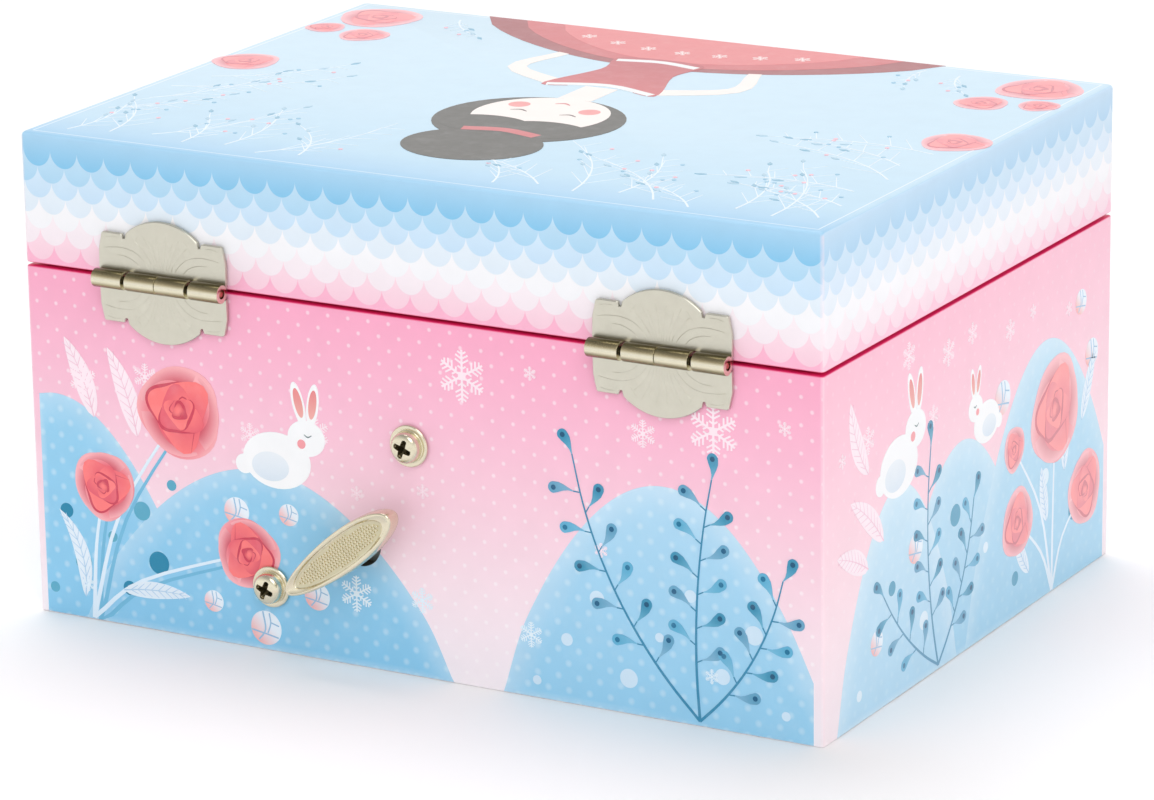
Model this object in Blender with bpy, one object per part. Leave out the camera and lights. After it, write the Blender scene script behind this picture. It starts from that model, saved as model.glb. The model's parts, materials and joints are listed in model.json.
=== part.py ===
"""Ballerina jewellery box with a wind-up music movement.

A hinged board box stands on the world origin, +Z up, with its front towards -Y.
The two decorative hinges, the winding key and the movement's two screws are on its
back, at +Y. Figures are millimetres and every mesh is scaled to metres as it is made.
Each moving group hangs from an empty that sits on its joint's axis.
"""
import math

import bmesh
import bpy
from mathutils import Matrix, Vector

MM = 0.001
GAP = 0.3                       # clearance left between touching pieces

# Box
BOX_W, BOX_D, BOX_H = 190.0, 140.0, 107.0
WALL = 4.0
CASE_H = 77.7                   # rim of the case
SEAM = 0.7                      # gap between the case and the closed lid
LID_Z = CASE_H + SEAM
LID_BOARD = 4.0                 # top board of the lid
HALF_W, HALF_D = BOX_W / 2, BOX_D / 2
IN_W, IN_D = HALF_W - WALL, HALF_D - WALL

# Hinges
HINGE_X = 59.5                  # each hinge's distance from the middle
HINGE_Y = HALF_D + 2.6          # barrel axis, outside the back face
HINGE_Z = CASE_H + SEAM / 2
LEAF_HALF = 15.8
LEAF_T = 0.8
LEAF_ARC = 13.3                 # radius of the round middle of a leaf
BARREL_R = 2.0
HINGE_PIN_R = 0.7
HINGE_BORE_R = 1.0
PRONG_X, PRONG_Z = 9.45, 8.3
PRONG_W = 0.8

# Winding key and screws, in the back panel
KEY_X, KEY_Z = 13.0, 27.4
KEY_HOLE_R = 5.0
KEY_LONG, KEY_WIDE = 16.4, 4.3  # half lengths of the bar
KEY_TILT = math.radians(38.4)
KEY_TAPER = 0.15                # one end of the bar is this much fuller than the middle
SCREWS = {"movement_screw_upper": (0.3, 50.5), "movement_screw_lower": (35.1, 14.6)}

# Interior
FLOOR_Z = 6.1                   # what stands on the floor pad starts here
DECK_Z, DECK_TOP = 64.5, 67.5
STAGE_L, STAGE_R = 49.0, -23.0  # outer faces of the stage's side walls
STAGE_Y = 1.0                   # front face of the stage
BOARD = 3.0                     # stage boards and dividers
DIVIDER_H = 52.0

# Movement
PLATE_Y = (63.2, 65.7)
BARREL_Y, BARREL_CLOSE = 52.0, 60.0
DRUM_R = 11.2
CROWN_R = (10.0, 11.2)
CROWN_TEETH, PINION_TEETH = 36, 12
CROWN_H = 0.95
PINION_MODULE = 7.0 / PINION_TEETH
CYL_X, CYL_Y = KEY_X, BARREL_Y - 0.6 - 3.5
CYL_Z = (41.0, 58.6)
CYL_R, PIN_H = 6.5, 0.7
WHEEL_MODULE = 0.8
WHEEL_TEETH, DANCER_TEETH, GOV_TEETH, WORM_WHEEL_TEETH = 22, 38, 12, 24
WHEEL_Z = (61.0, 63.5)
GOV_X = CYL_X - WHEEL_MODULE * (WHEEL_TEETH + GOV_TEETH) / 2
WORM_R, WORM_Z = 5.2, 55.4      # worm wheel's pitch radius, worm axis height
WORM_Y = CYL_Y - 7.0
SHAFT_HOLE = 1.3

# Dancer
DANCER_Y = CYL_Y - WHEEL_MODULE * (WHEEL_TEETH + DANCER_TEETH) / 2
PIVOT_Z = 73.5
LEAN = math.radians(62)         # forward lean under the closed lid
SPRING_R, SPRING_WIRE, SPRING_TURNS = 2.2, 0.32, 5

# Lid stay
STAY_R = 38.0                   # both pivots stand this far from the hinge axis
STAY_DROP = 8.0                 # pivots below and above the seam
STAY_X = 88.0
STAY_Y = HINGE_Y - math.sqrt(STAY_R ** 2 - STAY_DROP ** 2)
STAY_LOW, STAY_HIGH = HINGE_Z - STAY_DROP, HINGE_Z + STAY_DROP

# Stop plunger
PLUNGER_X, PLUNGER_Y = -16.5, 55.0

# Finishes: colour, roughness, metallic
PINK = ((0.94, 0.50, 0.62), 0.55, 0.0)
BLUE = ((0.45, 0.72, 0.88), 0.55, 0.0)
LINING = ((0.93, 0.62, 0.70), 0.9, 0.0)
MIRROR = ((0.85, 0.88, 0.9), 0.03, 1.0)
NICKEL = ((0.62, 0.59, 0.50), 0.3, 1.0)
COPPER = ((0.60, 0.32, 0.24), 0.35, 1.0)
STEEL = ((0.55, 0.56, 0.58), 0.3, 1.0)
BRASS = ((0.78, 0.60, 0.28), 0.3, 1.0)
ZINC = ((0.50, 0.50, 0.49), 0.45, 1.0)
SKIN = ((0.90, 0.68, 0.58), 0.5, 0.0)
TULLE = ((0.97, 0.80, 0.86), 0.8, 0.0)


# ---------------------------------------------------------------- scene helpers

def clear_scene():
    for obj in list(bpy.data.objects):
        bpy.data.objects.remove(obj, do_unlink=True)


def pivot(name, x, y, z, parent=None, lean=0.0):
    """An empty on a joint's axis, which the group's pieces hang from."""
    obj = bpy.data.objects.new(name, None)
    bpy.context.collection.objects.link(obj)
    place = Matrix.Translation(Vector((x, y, z)) * MM) @ Matrix.Rotation(lean, 4, "X")
    obj["place"] = [value for row in place for value in row]
    if parent:
        obj.parent = parent
        obj.matrix_local = world_place(parent).inverted() @ place
    else:
        obj.matrix_local = place
    return obj


def world_place(empty):
    values = list(empty["place"])
    return Matrix([values[row * 4:row * 4 + 4] for row in range(4)])


def material(name, finish):
    colour, roughness, metallic = finish
    mat = bpy.data.materials.new(name)
    mat.use_nodes = True
    shader = mat.node_tree.nodes["Principled BSDF"]
    shader.inputs["Base Color"].default_value = (*colour, 1.0)
    shader.inputs["Roughness"].default_value = roughness
    shader.inputs["Metallic"].default_value = metallic
    return mat


def add(name, bm, finish, body=None, smooth=False, local=False):
    """Make one node. The mesh comes in world millimetres, or the body's own if local."""
    bmesh.ops.recalc_face_normals(bm, faces=bm.faces)
    mesh = bpy.data.meshes.new(name)
    bm.to_mesh(mesh)
    bm.free()
    mesh.transform(Matrix.Scale(MM, 4))
    obj = bpy.data.objects.new(name, mesh)
    bpy.context.collection.objects.link(obj)
    if body:
        obj.parent = body
        if not local:
            mesh.transform(world_place(body).inverted())
    if smooth:
        mesh.shade_smooth()
        mesh.set_sharp_from_angle(angle=math.radians(35))
    if finish:
        mesh.materials.append(material(name, finish))
    return obj


def boolean(target, bm, operation, body=None, local=False):
    """Join or cut the target with a guide that is left out of the finished object."""
    guide = add(target.name + "_guide", bm, None, body, local=local)
    guide.hide_render = True
    guide.display_type = "WIRE"
    modifier = target.modifiers.new(operation.lower(), "BOOLEAN")
    modifier.operation = operation
    modifier.solver = "EXACT"
    modifier.object = guide


def join(target, bm, body=None, local=False):
    boolean(target, bm, "UNION", body, local)


def cut(target, bm, body=None, local=False):
    boolean(target, bm, "DIFFERENCE", body, local)


# ----------------------------------------------------------------- mesh helpers

def on_axis(axis, u, v, h):
    """A point at (u, v) across the axis and h along it."""
    return {"X": (h, u, v), "Y": (u, h, v), "Z": (u, v, h)}[axis]


def box(x0, x1, y0, y1, z0, z1):
    bm = bmesh.new()
    bmesh.ops.create_cube(bm, size=1.0)
    for vert in bm.verts:
        vert.co.x = x1 if vert.co.x > 0 else x0
        vert.co.y = y1 if vert.co.y > 0 else y0
        vert.co.z = z1 if vert.co.z > 0 else z0
    return bm


def prism(outline, axis, low, high):
    """An outline across an axis, extruded along it."""
    bm = bmesh.new()
    face = bm.faces.new([bm.verts.new(on_axis(axis, u, v, low)) for u, v in outline])
    top = bmesh.ops.extrude_face_region(bm, geom=[face])["geom"]
    move = Vector(on_axis(axis, 0, 0, high - low))
    bmesh.ops.translate(bm, verts=[v for v in top if isinstance(v, bmesh.types.BMVert)], vec=move)
    return bm


def circle(u, v, radius, segments=20):
    turns = [math.tau * k / segments for k in range(segments)]
    return [(u + radius * math.cos(a), v + radius * math.sin(a)) for a in turns]


def rod(axis, u, v, radius, low, high, segments=20):
    return prism(circle(u, v, radius, segments), axis, low, high)


def loft(rings, closed=False):
    """Join rings of points in order, capping the ends unless the run closes on itself."""
    bm = bmesh.new()
    loops = [[bm.verts.new(point) for point in ring] for ring in rings]
    pairs = list(zip(loops, loops[1:]))
    if closed:
        pairs.append((loops[-1], loops[0]))
    for a, b in pairs:
        count = len(a)
        for k in range(count):
            bm.faces.new((a[k], a[(k + 1) % count], b[(k + 1) % count], b[k]))
    if not closed:
        bm.faces.new(loops[0])
        bm.faces.new(loops[-1])
    return bm


def turned(profile, axis="Z", u=0.0, v=0.0, segments=20, closed=False):
    """Turn (radius, height) pairs about an axis; a closed profile makes a ring."""
    rings = []
    for radius, height in profile:
        rings.append([on_axis(axis, a, b, height) for a, b in circle(u, v, radius, segments)])
    return loft(rings, closed)


def sweep(path, radius, sides=6):
    """A round wire along a path of points; radius may be a list, one for each point."""
    points = [Vector(p) for p in path]
    radii = radius if isinstance(radius, list) else [radius] * len(points)
    side = None
    rings = []
    for k, point in enumerate(points):
        ahead = (points[min(k + 1, len(points) - 1)] - points[max(k - 1, 0)]).normalized()
        if side is None:
            side = ahead.orthogonal().normalized()
        side = (side - ahead * side.dot(ahead)).normalized()
        other = ahead.cross(side)
        turns = [math.tau * s / sides for s in range(sides)]
        rings.append([point + (side * math.cos(a) + other * math.sin(a)) * radii[k] for a in turns])
    return loft(rings)


def gear_outline(u, v, teeth, module, phase):
    """Straight-flanked teeth, thinned so that a meshed pair keeps some backlash."""
    pitch_r = teeth * module / 2
    step = math.tau / teeth
    flank = [(pitch_r - 0.95 * module, -0.29), (pitch_r, -0.21), (pitch_r + 0.75 * module, -0.10)]
    tooth = flank + [(r, -share) for r, share in reversed(flank)]
    points = []
    for k in range(teeth):
        for radius, share in tooth:
            angle = phase + (k + share) * step
            points.append((u + radius * math.cos(angle), v + radius * math.sin(angle)))
    return points


# -------------------------------------------------------------------- case, lid

def build_case():
    add("base_board", box(GAP - IN_W, IN_W - GAP, GAP - IN_D, IN_D - GAP, 0, WALL), PINK)
    add("case_front", box(-HALF_W, HALF_W, -HALF_D, -IN_D, 0, CASE_H), PINK)
    back = add("case_back", box(-HALF_W, HALF_W, IN_D, HALF_D, 0, CASE_H), PINK)
    add("case_left", box(IN_W, HALF_W, GAP - IN_D, IN_D - GAP, 0, CASE_H), PINK)
    add("case_right", box(-HALF_W, -IN_W, GAP - IN_D, IN_D - GAP, 0, CASE_H), PINK)
    cut(back, rod("Y", KEY_X, KEY_Z, KEY_HOLE_R, IN_D - 1, HALF_D + 1, 28))
    for x, z in SCREWS.values():
        cut(back, rod("Y", x, z, 1.8, IN_D - 1, HALF_D + 1, 12))
    for hinge_x in (HINGE_X, -HINGE_X):
        for side in (-1, 1):
            cut(back, prong_slit(hinge_x + side * PRONG_X, HINGE_Z - PRONG_Z))


def build_lid(lid):
    top = BOX_H - LID_BOARD
    add("lid_top", box(-HALF_W, HALF_W, -HALF_D, HALF_D, top, BOX_H), BLUE, lid)
    rim = top - GAP
    add("lid_front", box(-HALF_W, HALF_W, -HALF_D, -IN_D, LID_Z, rim), BLUE, lid)
    back = add("lid_back", box(-HALF_W, HALF_W, IN_D, HALF_D, LID_Z, rim), BLUE, lid)
    add("lid_left", box(IN_W, HALF_W, GAP - IN_D, IN_D - GAP, LID_Z, rim), BLUE, lid)
    add("lid_right", box(-HALF_W, -IN_W, GAP - IN_D, IN_D - GAP, LID_Z, rim), BLUE, lid)
    for hinge_x in (HINGE_X, -HINGE_X):
        for side in (-1, 1):
            cut(back, prong_slit(hinge_x + side * PRONG_X, HINGE_Z + PRONG_Z))
    lining = add("lid_lining", box(GAP - IN_W, IN_W - GAP, GAP - IN_D, IN_D - GAP, 97.2, 99.2),
                 LINING, lid)
    cut(lining, box(-55, 55, -37, 37, 96, 100))
    add("lid_mirror", box(-60, 60, -42, 42, 99.5, 101.5), MIRROR, lid)


def prong_slit(x, z):
    half = PRONG_W / 2 + 0.45
    return box(x - half, x + half, IN_D - 1, HALF_D + 1, z - half, z + half)


def build_interior():
    add("floor_pad", box(GAP - IN_W, IN_W - GAP, GAP - IN_D, IN_D - GAP, WALL + GAP, FLOOR_Z - GAP),
        LINING)
    back = IN_D - GAP
    deck = add("stage_deck", box(STAGE_R, STAGE_L, STAGE_Y, back, DECK_Z, DECK_TOP), LINING)
    cut(deck, rod("Z", CYL_X, DANCER_Y, 3.0, DECK_Z - 1, DECK_TOP + 1))
    cut(deck, rod("Z", PLUNGER_X, PLUNGER_Y, 1.4, DECK_Z - 1, DECK_TOP + 1, 12))
    under = DECK_Z - GAP
    wall_y = STAGE_Y + BOARD + GAP
    add("stage_front", box(STAGE_R, STAGE_L, STAGE_Y, STAGE_Y + BOARD, FLOOR_Z, under), LINING)
    add("stage_wall_left", box(STAGE_L - BOARD, STAGE_L, wall_y, back, FLOOR_Z, under), LINING)
    add("stage_wall_right", box(STAGE_R, STAGE_R + BOARD, wall_y, back, FLOOR_Z, under), LINING)
    add("divider_left", box(STAGE_L + GAP, IN_W - GAP, STAGE_Y, STAGE_Y + BOARD, FLOOR_Z, DIVIDER_H),
        LINING)
    add("divider_right", box(GAP - IN_W, STAGE_R - GAP, STAGE_Y, STAGE_Y + BOARD, FLOOR_Z, DIVIDER_H),
        LINING)
    add("divider_front", box(-33, -30, GAP - IN_D, STAGE_Y - GAP, FLOOR_Z, 45), LINING)
    cushion = add("ring_cushion", box(GAP - IN_W, -33 - GAP, GAP - IN_D, STAGE_Y - GAP, FLOOR_Z, 34),
                  LINING)
    bevel = cushion.modifiers.new("soft_edges", "BEVEL")
    bevel.width = 3.0 * MM
    bevel.segments = 2


# ----------------------------------------------------------------------- hinges

def leaf_outline():
    """Half a leaf's outline above the barrel, from the middle of the arc outwards."""
    start = math.acos(8.9 / LEAF_ARC)
    steps = 7
    arc = []
    for k in range(steps + 1):
        angle = math.pi / 2 + (start - math.pi / 2) * k / steps
        arc.append((LEAF_ARC * math.cos(angle), LEAF_ARC * math.sin(angle)))
    notch = [(9.15, 8.7), (9.75, 8.7), (9.95, 9.7)]
    side = [(LEAF_HALF - 1.0, 9.7), (LEAF_HALF, 6.0), (LEAF_HALF, 2.4)]
    return arc + notch + side


def build_leaf(name, hinge_x, up, body):
    """One leaf; up is 1 for the lid's and -1 for the case's, which is the same turned over."""
    half = leaf_outline()
    outline = half + [(-x, z) for x, z in reversed(half[1:])]
    outline = [(hinge_x + x, HINGE_Z + up * z) for x, z in outline]
    back = HALF_D + GAP
    leaf = add(name, prism(outline, "Y", back, back + LEAF_T), NICKEL, body, smooth=True)
    for start, end in ((-LEAF_HALF, -8.4), (0.2, 7.5)):
        low, high = sorted((hinge_x + up * start, hinge_x + up * end))
        z0, z1 = sorted((HINGE_Z, HINGE_Z + up * 2.8))
        join(leaf, box(low, high, back, back + LEAF_T, z0, z1), body)
        join(leaf, rod("X", HINGE_Y, HINGE_Z, BARREL_R, low, high, 20), body)
        cut(leaf, rod("X", HINGE_Y, HINGE_Z, HINGE_BORE_R, low - 1, high + 1, 12), body)
    for side in (-1, 1):
        x, z = hinge_x + side * PRONG_X, HINGE_Z + up * PRONG_Z
        half_w = PRONG_W / 2
        join(leaf, box(x - half_w, x + half_w, IN_D + 0.4, back + LEAF_T / 2, z - half_w, z + half_w),
             body)


def build_hinges(lid):
    for side, hinge_x in (("left", HINGE_X), ("right", -HINGE_X)):
        build_leaf("hinge_" + side + "_lid_leaf", hinge_x, 1, lid)
        build_leaf("hinge_" + side + "_case_leaf", hinge_x, -1, None)
        ends = (hinge_x - LEAF_HALF + 0.1, hinge_x + LEAF_HALF - 0.1)
        add("hinge_" + side + "_pin", rod("X", HINGE_Y, HINGE_Z, HINGE_PIN_R, *ends, 12), COPPER,
            smooth=True)


# --------------------------------------------------------------- key and screws

def key_ring(depth, inset, count=36):
    """The bar's outline at one depth behind the wall face: a long oval with one full end."""
    long, wide = KEY_LONG - inset, KEY_WIDE - inset
    points = []
    for k in range(count):
        angle = math.tau * k / count
        along = long * math.cos(angle)
        across = wide * math.sin(angle) * (1 + KEY_TAPER * math.cos(angle))
        u = -along * math.cos(KEY_TILT) + across * math.sin(KEY_TILT)
        v = along * math.sin(KEY_TILT) + across * math.cos(KEY_TILT)
        points.append((KEY_X + u, HALF_D + depth, KEY_Z + v))
    return points


def build_key(body):
    sections = [(5.7, 0.7), (6.4, 0.0), (9.1, 0.0), (9.7, 0.5), (9.7, 1.0), (9.0, 1.3)]
    key = add("winding_key", loft([key_ring(depth, inset) for depth, inset in sections]), NICKEL,
              body, smooth=True)
    join(key, rod("Y", KEY_X, KEY_Z, 2.6, HALF_D - 3.8, HALF_D + 6.2, 24), body)
    cut(key, rod("Y", KEY_X, KEY_Z, 1.8, HALF_D - 5, HALF_D + 2.5, 16), body)
    shaft = [(1.5, 50.4), (1.5, 60.6), (2.4, 60.6), (2.4, 62.6), (1.5, 62.6), (1.5, 71.9)]
    add("winding_arbor", turned(shaft, "Y", KEY_X, KEY_Z, 16), STEEL, body, smooth=True)
    path = []
    steps = 24
    for k in range(steps + 1):
        angle = 2 * math.tau * k / steps
        path.append((KEY_X + 3.1 * math.cos(angle), 61.0 + 1.2 * k / steps,
                     KEY_Z + 3.1 * math.sin(angle)))
    add("clutch_spring", sweep(path, 0.28), STEEL, body, smooth=True)


def build_movement_screws():
    face = HALF_D + GAP
    for name, (x, z) in SCREWS.items():
        profile = [(1.4, PLATE_Y[0] + 0.1), (1.4, face), (4.5, face), (4.5, face + 0.6), (4.2, face + 0.9),
                   (3.3, face + 0.9), (3.3, face + 2.0), (2.7, face + 2.8), (1.6, face + 3.2)]
        screw = add(name, turned(profile, "Y", x, z, 24), NICKEL, smooth=True)
        for wide, tall in ((2.1, 0.45), (0.45, 2.1)):
            cut(screw, box(x - wide, x + wide, face + 1.8, face + 4, z - tall, z + tall))


# --------------------------------------------------------------------- movement

def build_frame():
    plate = add("bedplate", box(-13, 41, *PLATE_Y, 9, 60), ZINC)
    cut(plate, rod("Y", KEY_X, KEY_Z, 1.8, PLATE_Y[0] - 1, PLATE_Y[1] + 1))
    for x, z in SCREWS.values():
        cut(plate, rod("Y", x, z, 1.7, PLATE_Y[0] - 1, PLATE_Y[1] + 1, 12))

    back = PLATE_Y[0] - GAP
    lower = [(10, 43.2), (30, 43.2), (30, back), (25, back), (25, 49.6), (10, 49.6)]
    upper = [(10, 43.2), (16, 43.2), (16, 60.9), (30, 60.9), (30, back), (10, back)]
    bracket = add("cylinder_bracket", prism(lower, "Z", 33.6, 35.4), ZINC)
    join(bracket, prism(upper, "Z", 58.9, 60.7))
    join(bracket, box(25.5, 29.5, 60.9, back - 0.2, 34, 60))
    cut(bracket, rod("Z", CYL_X, CYL_Y, SHAFT_HOLE, 32, 62, 16))

    rail = add("comb_rail", box(31, 39.5, 49.0, back, 40, 60), ZINC)
    comb = add("comb", box(30.5, 39.5, 47.5, 48.7, *CYL_Z), STEEL)
    for k in range(18):
        pitch = (CYL_Z[1] - CYL_Z[0]) / 18
        z = CYL_Z[0] + (k + 0.5) * pitch
        join(comb, box(CYL_X + CYL_R + PIN_H + 0.25, 31, 47.6, 48.6, z - 0.3, z + 0.3))
    for name, z in (("comb_screw_upper", 54.5), ("comb_screw_lower", 45.1)):
        cut(rail, rod("Y", 35.4, z, 1.2, 48, 56, 12))
        cut(comb, rod("Y", 35.4, z, 1.2, 46, 50, 12))
        profile = [(2.1, 45.6), (2.1, 47.2), (0.9, 47.2), (0.9, 55.0)]
        add(name, turned(profile, "Y", 35.4, z, 12), STEEL, smooth=True)


def build_barrel(body):
    """Spring drum with crown teeth, its lid and the coiled mainspring."""
    wall = [(DRUM_R, BARREL_CLOSE), (DRUM_R, BARREL_Y), (CROWN_R[0], BARREL_Y), (1.8, BARREL_Y),
            (1.8, BARREL_Y + 1), (DRUM_R - 1, BARREL_Y + 1), (DRUM_R - 1, BARREL_CLOSE)]
    step = math.tau / CROWN_TEETH
    tooth_share = 0.40
    angles = []
    for k in range(CROWN_TEETH):
        middle = math.pi / 2 + k * step
        angles += [middle - tooth_share * step / 2, middle + tooth_share * step / 2]
    rings = []
    for radius, y in wall:
        rings.append([(KEY_X + radius * math.cos(a), y, KEY_Z + radius * math.sin(a)) for a in angles])
    bm = loft(rings, closed=True)
    crown = []
    for face in bm.faces:
        radii = [math.hypot(v.co.x - KEY_X, v.co.z - KEY_Z) for v in face.verts]
        flat = all(abs(v.co.y - BARREL_Y) < 1e-4 for v in face.verts)
        if flat and min(radii) > CROWN_R[0] - 0.1:
            width = (face.verts[0].co - face.verts[1].co).length
            if width < step * DRUM_R / 2:
                crown.append(face)
    teeth = bmesh.ops.extrude_discrete_faces(bm, faces=crown)["faces"]
    for face in teeth:
        middle = face.calc_center_median()
        for vert in face.verts:
            vert.co = middle + (vert.co - middle) * 0.8
            vert.co.y -= CROWN_H
    add("spring_barrel", bm, BRASS, body)
    cap = [(1.8, 58.9), (DRUM_R - 1.3, 58.9), (DRUM_R - 1.3, 59.7), (1.8, 59.7)]
    add("barrel_cap", turned(cap, "Y", KEY_X, KEY_Z, 28, closed=True), BRASS, body, smooth=True)

    turns, steps, thick = 6, 20, 0.4
    outer, inner = [], []
    for k in range(turns * steps + 1):
        angle = math.tau * k / steps
        radius = 2.9 + 6.2 * k / (turns * steps)
        outer.append((radius + thick, angle))
        inner.append((radius, angle))
    outline = [(KEY_X + r * math.cos(a), KEY_Z + r * math.sin(a)) for r, a in outer + inner[::-1]]
    add("mainspring", prism(outline, "Y", 53.4, 58.5), STEEL, body)


def build_cylinder(body):
    arbor = add("cylinder_arbor", rod("Z", CYL_X, CYL_Y, 1.0, 33.2, 64.1, 16), STEEL, body, smooth=True)
    gap_at_crown = math.radians(90 + 180 / PINION_TEETH)
    join(arbor, prism(gear_outline(CYL_X, CYL_Y, PINION_TEETH, PINION_MODULE, gap_at_crown),
                      "Z", 36.2, 39.6), body)

    around, tracks = 30, 18
    rings = [[(*point, CYL_Z[0]) for point in circle(CYL_X, CYL_Y, SHAFT_HOLE, around)]]
    for k in range(tracks + 1):
        z = CYL_Z[0] + (CYL_Z[1] - CYL_Z[0]) * k / tracks
        rings.append([(*point, z) for point in circle(CYL_X, CYL_Y, CYL_R, around)])
    rings.append([(*point, CYL_Z[1]) for point in circle(CYL_X, CYL_Y, SHAFT_HOLE, around)])
    bm = loft(rings, closed=True)
    bm.faces.ensure_lookup_table()
    melody = [bm.faces[around * (1 + k * 7 % tracks) + k * 11 % around] for k in range(44)]
    bmesh.ops.recalc_face_normals(bm, faces=bm.faces)
    pins = list(dict.fromkeys(melody))
    bmesh.ops.inset_individual(bm, faces=pins, thickness=0.32)
    raised = bmesh.ops.extrude_discrete_faces(bm, faces=pins)["faces"]
    for face in raised:
        away = face.calc_center_median() - Vector((CYL_X, CYL_Y, face.calc_center_median().z))
        bmesh.ops.translate(bm, verts=face.verts[:], vec=away.normalized() * (PIN_H - 0.05))
    add("pin_cylinder", bm, BRASS, body)

    wheel = add("drive_wheel", prism(gear_outline(CYL_X, CYL_Y, WHEEL_TEETH, WHEEL_MODULE,
                                                  -math.pi / 2), "Z", *WHEEL_Z), BRASS, body)
    cut(wheel, rod("Z", CYL_X, CYL_Y, SHAFT_HOLE, 60, 65, 16), body)


def build_governor(wheel_body, worm_body):
    """Braking train: a worm wheel on a pinion arbor, a worm and its air fan."""
    outline = gear_outline(GOV_X, CYL_Y, GOV_TEETH, WHEEL_MODULE, 0.0)
    wheel = add("governor_wheel", prism(outline, "Z", *WHEEL_Z), BRASS, wheel_body)
    join(wheel, rod("Z", GOV_X, CYL_Y, 0.8, 50.8, 63.9, 12), wheel_body)
    module = 2 * WORM_R / WORM_WHEEL_TEETH
    step = math.tau / WORM_WHEEL_TEETH
    teeth = gear_outline(GOV_X, CYL_Y, WORM_WHEEL_TEETH, module * 0.93, step / 2)
    join(wheel, prism(teeth, "Z", WORM_Z - 0.8, WORM_Z + 0.8), wheel_body)

    back = PLATE_Y[0] - GAP
    bracket = add("governor_bracket", box(-6.8, 4.6, 38.9, back, 51.5, 53.3), ZINC)
    join(bracket, box(-4, 3, 45, back, 58.4, 60.2))
    join(bracket, box(-3.8, 2.8, 60.9, back - 0.2, 52, 60))
    for x0, x1 in ((-6.8, -5.6), (3.4, 4.6)):
        join(bracket, box(x0, x1, 39.1, 42.7, 52, 57.2))
    cut(bracket, rod("Z", GOV_X, CYL_Y, 1.1, 50, 62, 12))
    cut(bracket, rod("X", WORM_Y, WORM_Z, 0.9, -8, 6, 12))

    pitch = math.tau * WORM_R / WORM_WHEEL_TEETH
    around, per_turn, turns = 12, 6, 5
    start = -1.2 - pitch * turns / 2
    shaft = 0.6
    rings = [[on_axis("X", *point, -13.6) for point in circle(WORM_Y, WORM_Z, shaft, around)],
             [on_axis("X", *point, start - 0.1) for point in circle(WORM_Y, WORM_Z, shaft, around)]]
    for k in range(per_turn * turns + 1):
        ring = []
        for s in range(around):
            angle = math.tau * s / around
            phase = (k / per_turn - s / around) % 1.0
            radius = 1.45 if 0.3 < phase < 0.7 else 0.95
            ring.append(on_axis("X", WORM_Y + radius * math.cos(angle),
                                WORM_Z + radius * math.sin(angle), start + pitch * k / per_turn))
        rings.append(ring)
    end = start + pitch * turns + 0.1
    rings += [[on_axis("X", *point, end) for point in circle(WORM_Y, WORM_Z, shaft, around)],
              [on_axis("X", *point, 4.4) for point in circle(WORM_Y, WORM_Z, shaft, around)]]
    add("governor_worm", loft(rings), STEEL, worm_body)

    fan = add("governor_fan", rod("X", WORM_Y, WORM_Z, 1.5, -13, -9.4, 12), BRASS, worm_body)
    join(fan, box(-13, -9.4, WORM_Y - 4.5, WORM_Y + 4.5, WORM_Z - 0.25, WORM_Z + 0.25), worm_body)
    cut(fan, rod("X", WORM_Y, WORM_Z, 0.9, -14, -9, 12), worm_body)


def build_plunger(body):
    """Rod that the closing lid presses down; its finger reaches for the governor's fan."""
    profile = [(1.0, 52.0), (1.0, 94.8), (2.2, 95.4), (2.2, 96.3), (1.6, 96.8)]
    plunger = add("stop_plunger", turned(profile, "Z", PLUNGER_X, PLUNGER_Y, 12), STEEL, body,
                  smooth=True)
    join(plunger, box(PLUNGER_X - 0.7, PLUNGER_X + 0.7, 45.9, PLUNGER_Y, 54.8, 56.0), body)
    join(plunger, box(PLUNGER_X, -11.0, 45.9, 47.1, 54.9, 55.9), body)


# ----------------------------------------------------------------------- dancer

def build_spindle(body):
    outline = gear_outline(CYL_X, DANCER_Y, DANCER_TEETH, WHEEL_MODULE,
                           math.pi / 2 + math.pi / DANCER_TEETH)
    gear = add("dancer_gear", prism(outline, "Z", *WHEEL_Z), BRASS, body)
    cut(gear, rod("Z", CYL_X, DANCER_Y, SHAFT_HOLE, 60, 65, 16), body)
    seat = [(1.0, 57.0), (1.0, 69.2), (3.0, 69.2), (3.0, 70.2), (2.6, 70.4)]
    add("dancer_spindle", turned(seat, "Z", CYL_X, DANCER_Y, 20), STEEL, body, smooth=True)
    bush = [(SHAFT_HOLE, 64.8), (2.7, 64.8), (2.7, 67.8), (4.0, 67.8), (4.0, 68.8), (SHAFT_HOLE, 68.8)]
    add("spindle_bush", turned(bush, "Z", CYL_X, DANCER_Y, 20, closed=True), BRASS, smooth=True)

    # The spring leaves the seat upright and bends over along an arc to the leaning figure.
    length = 5.2
    radius = length / LEAN
    path = []
    steps = SPRING_TURNS * 12
    for k in range(steps + 1):
        bend = LEAN * k / steps
        centre = Vector((CYL_X, DANCER_Y - radius * (1 - math.cos(bend)), 70.8 + radius * math.sin(bend)))
        out = Vector((0, -math.cos(bend), -math.sin(bend)))
        turn = math.tau * SPRING_TURNS * k / steps
        path.append(centre + Vector((1, 0, 0)) * SPRING_R * math.cos(turn) + out * SPRING_R * math.sin(turn))
    add("dancer_spring", sweep(path, SPRING_WIRE), STEEL, body, smooth=True)


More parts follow.
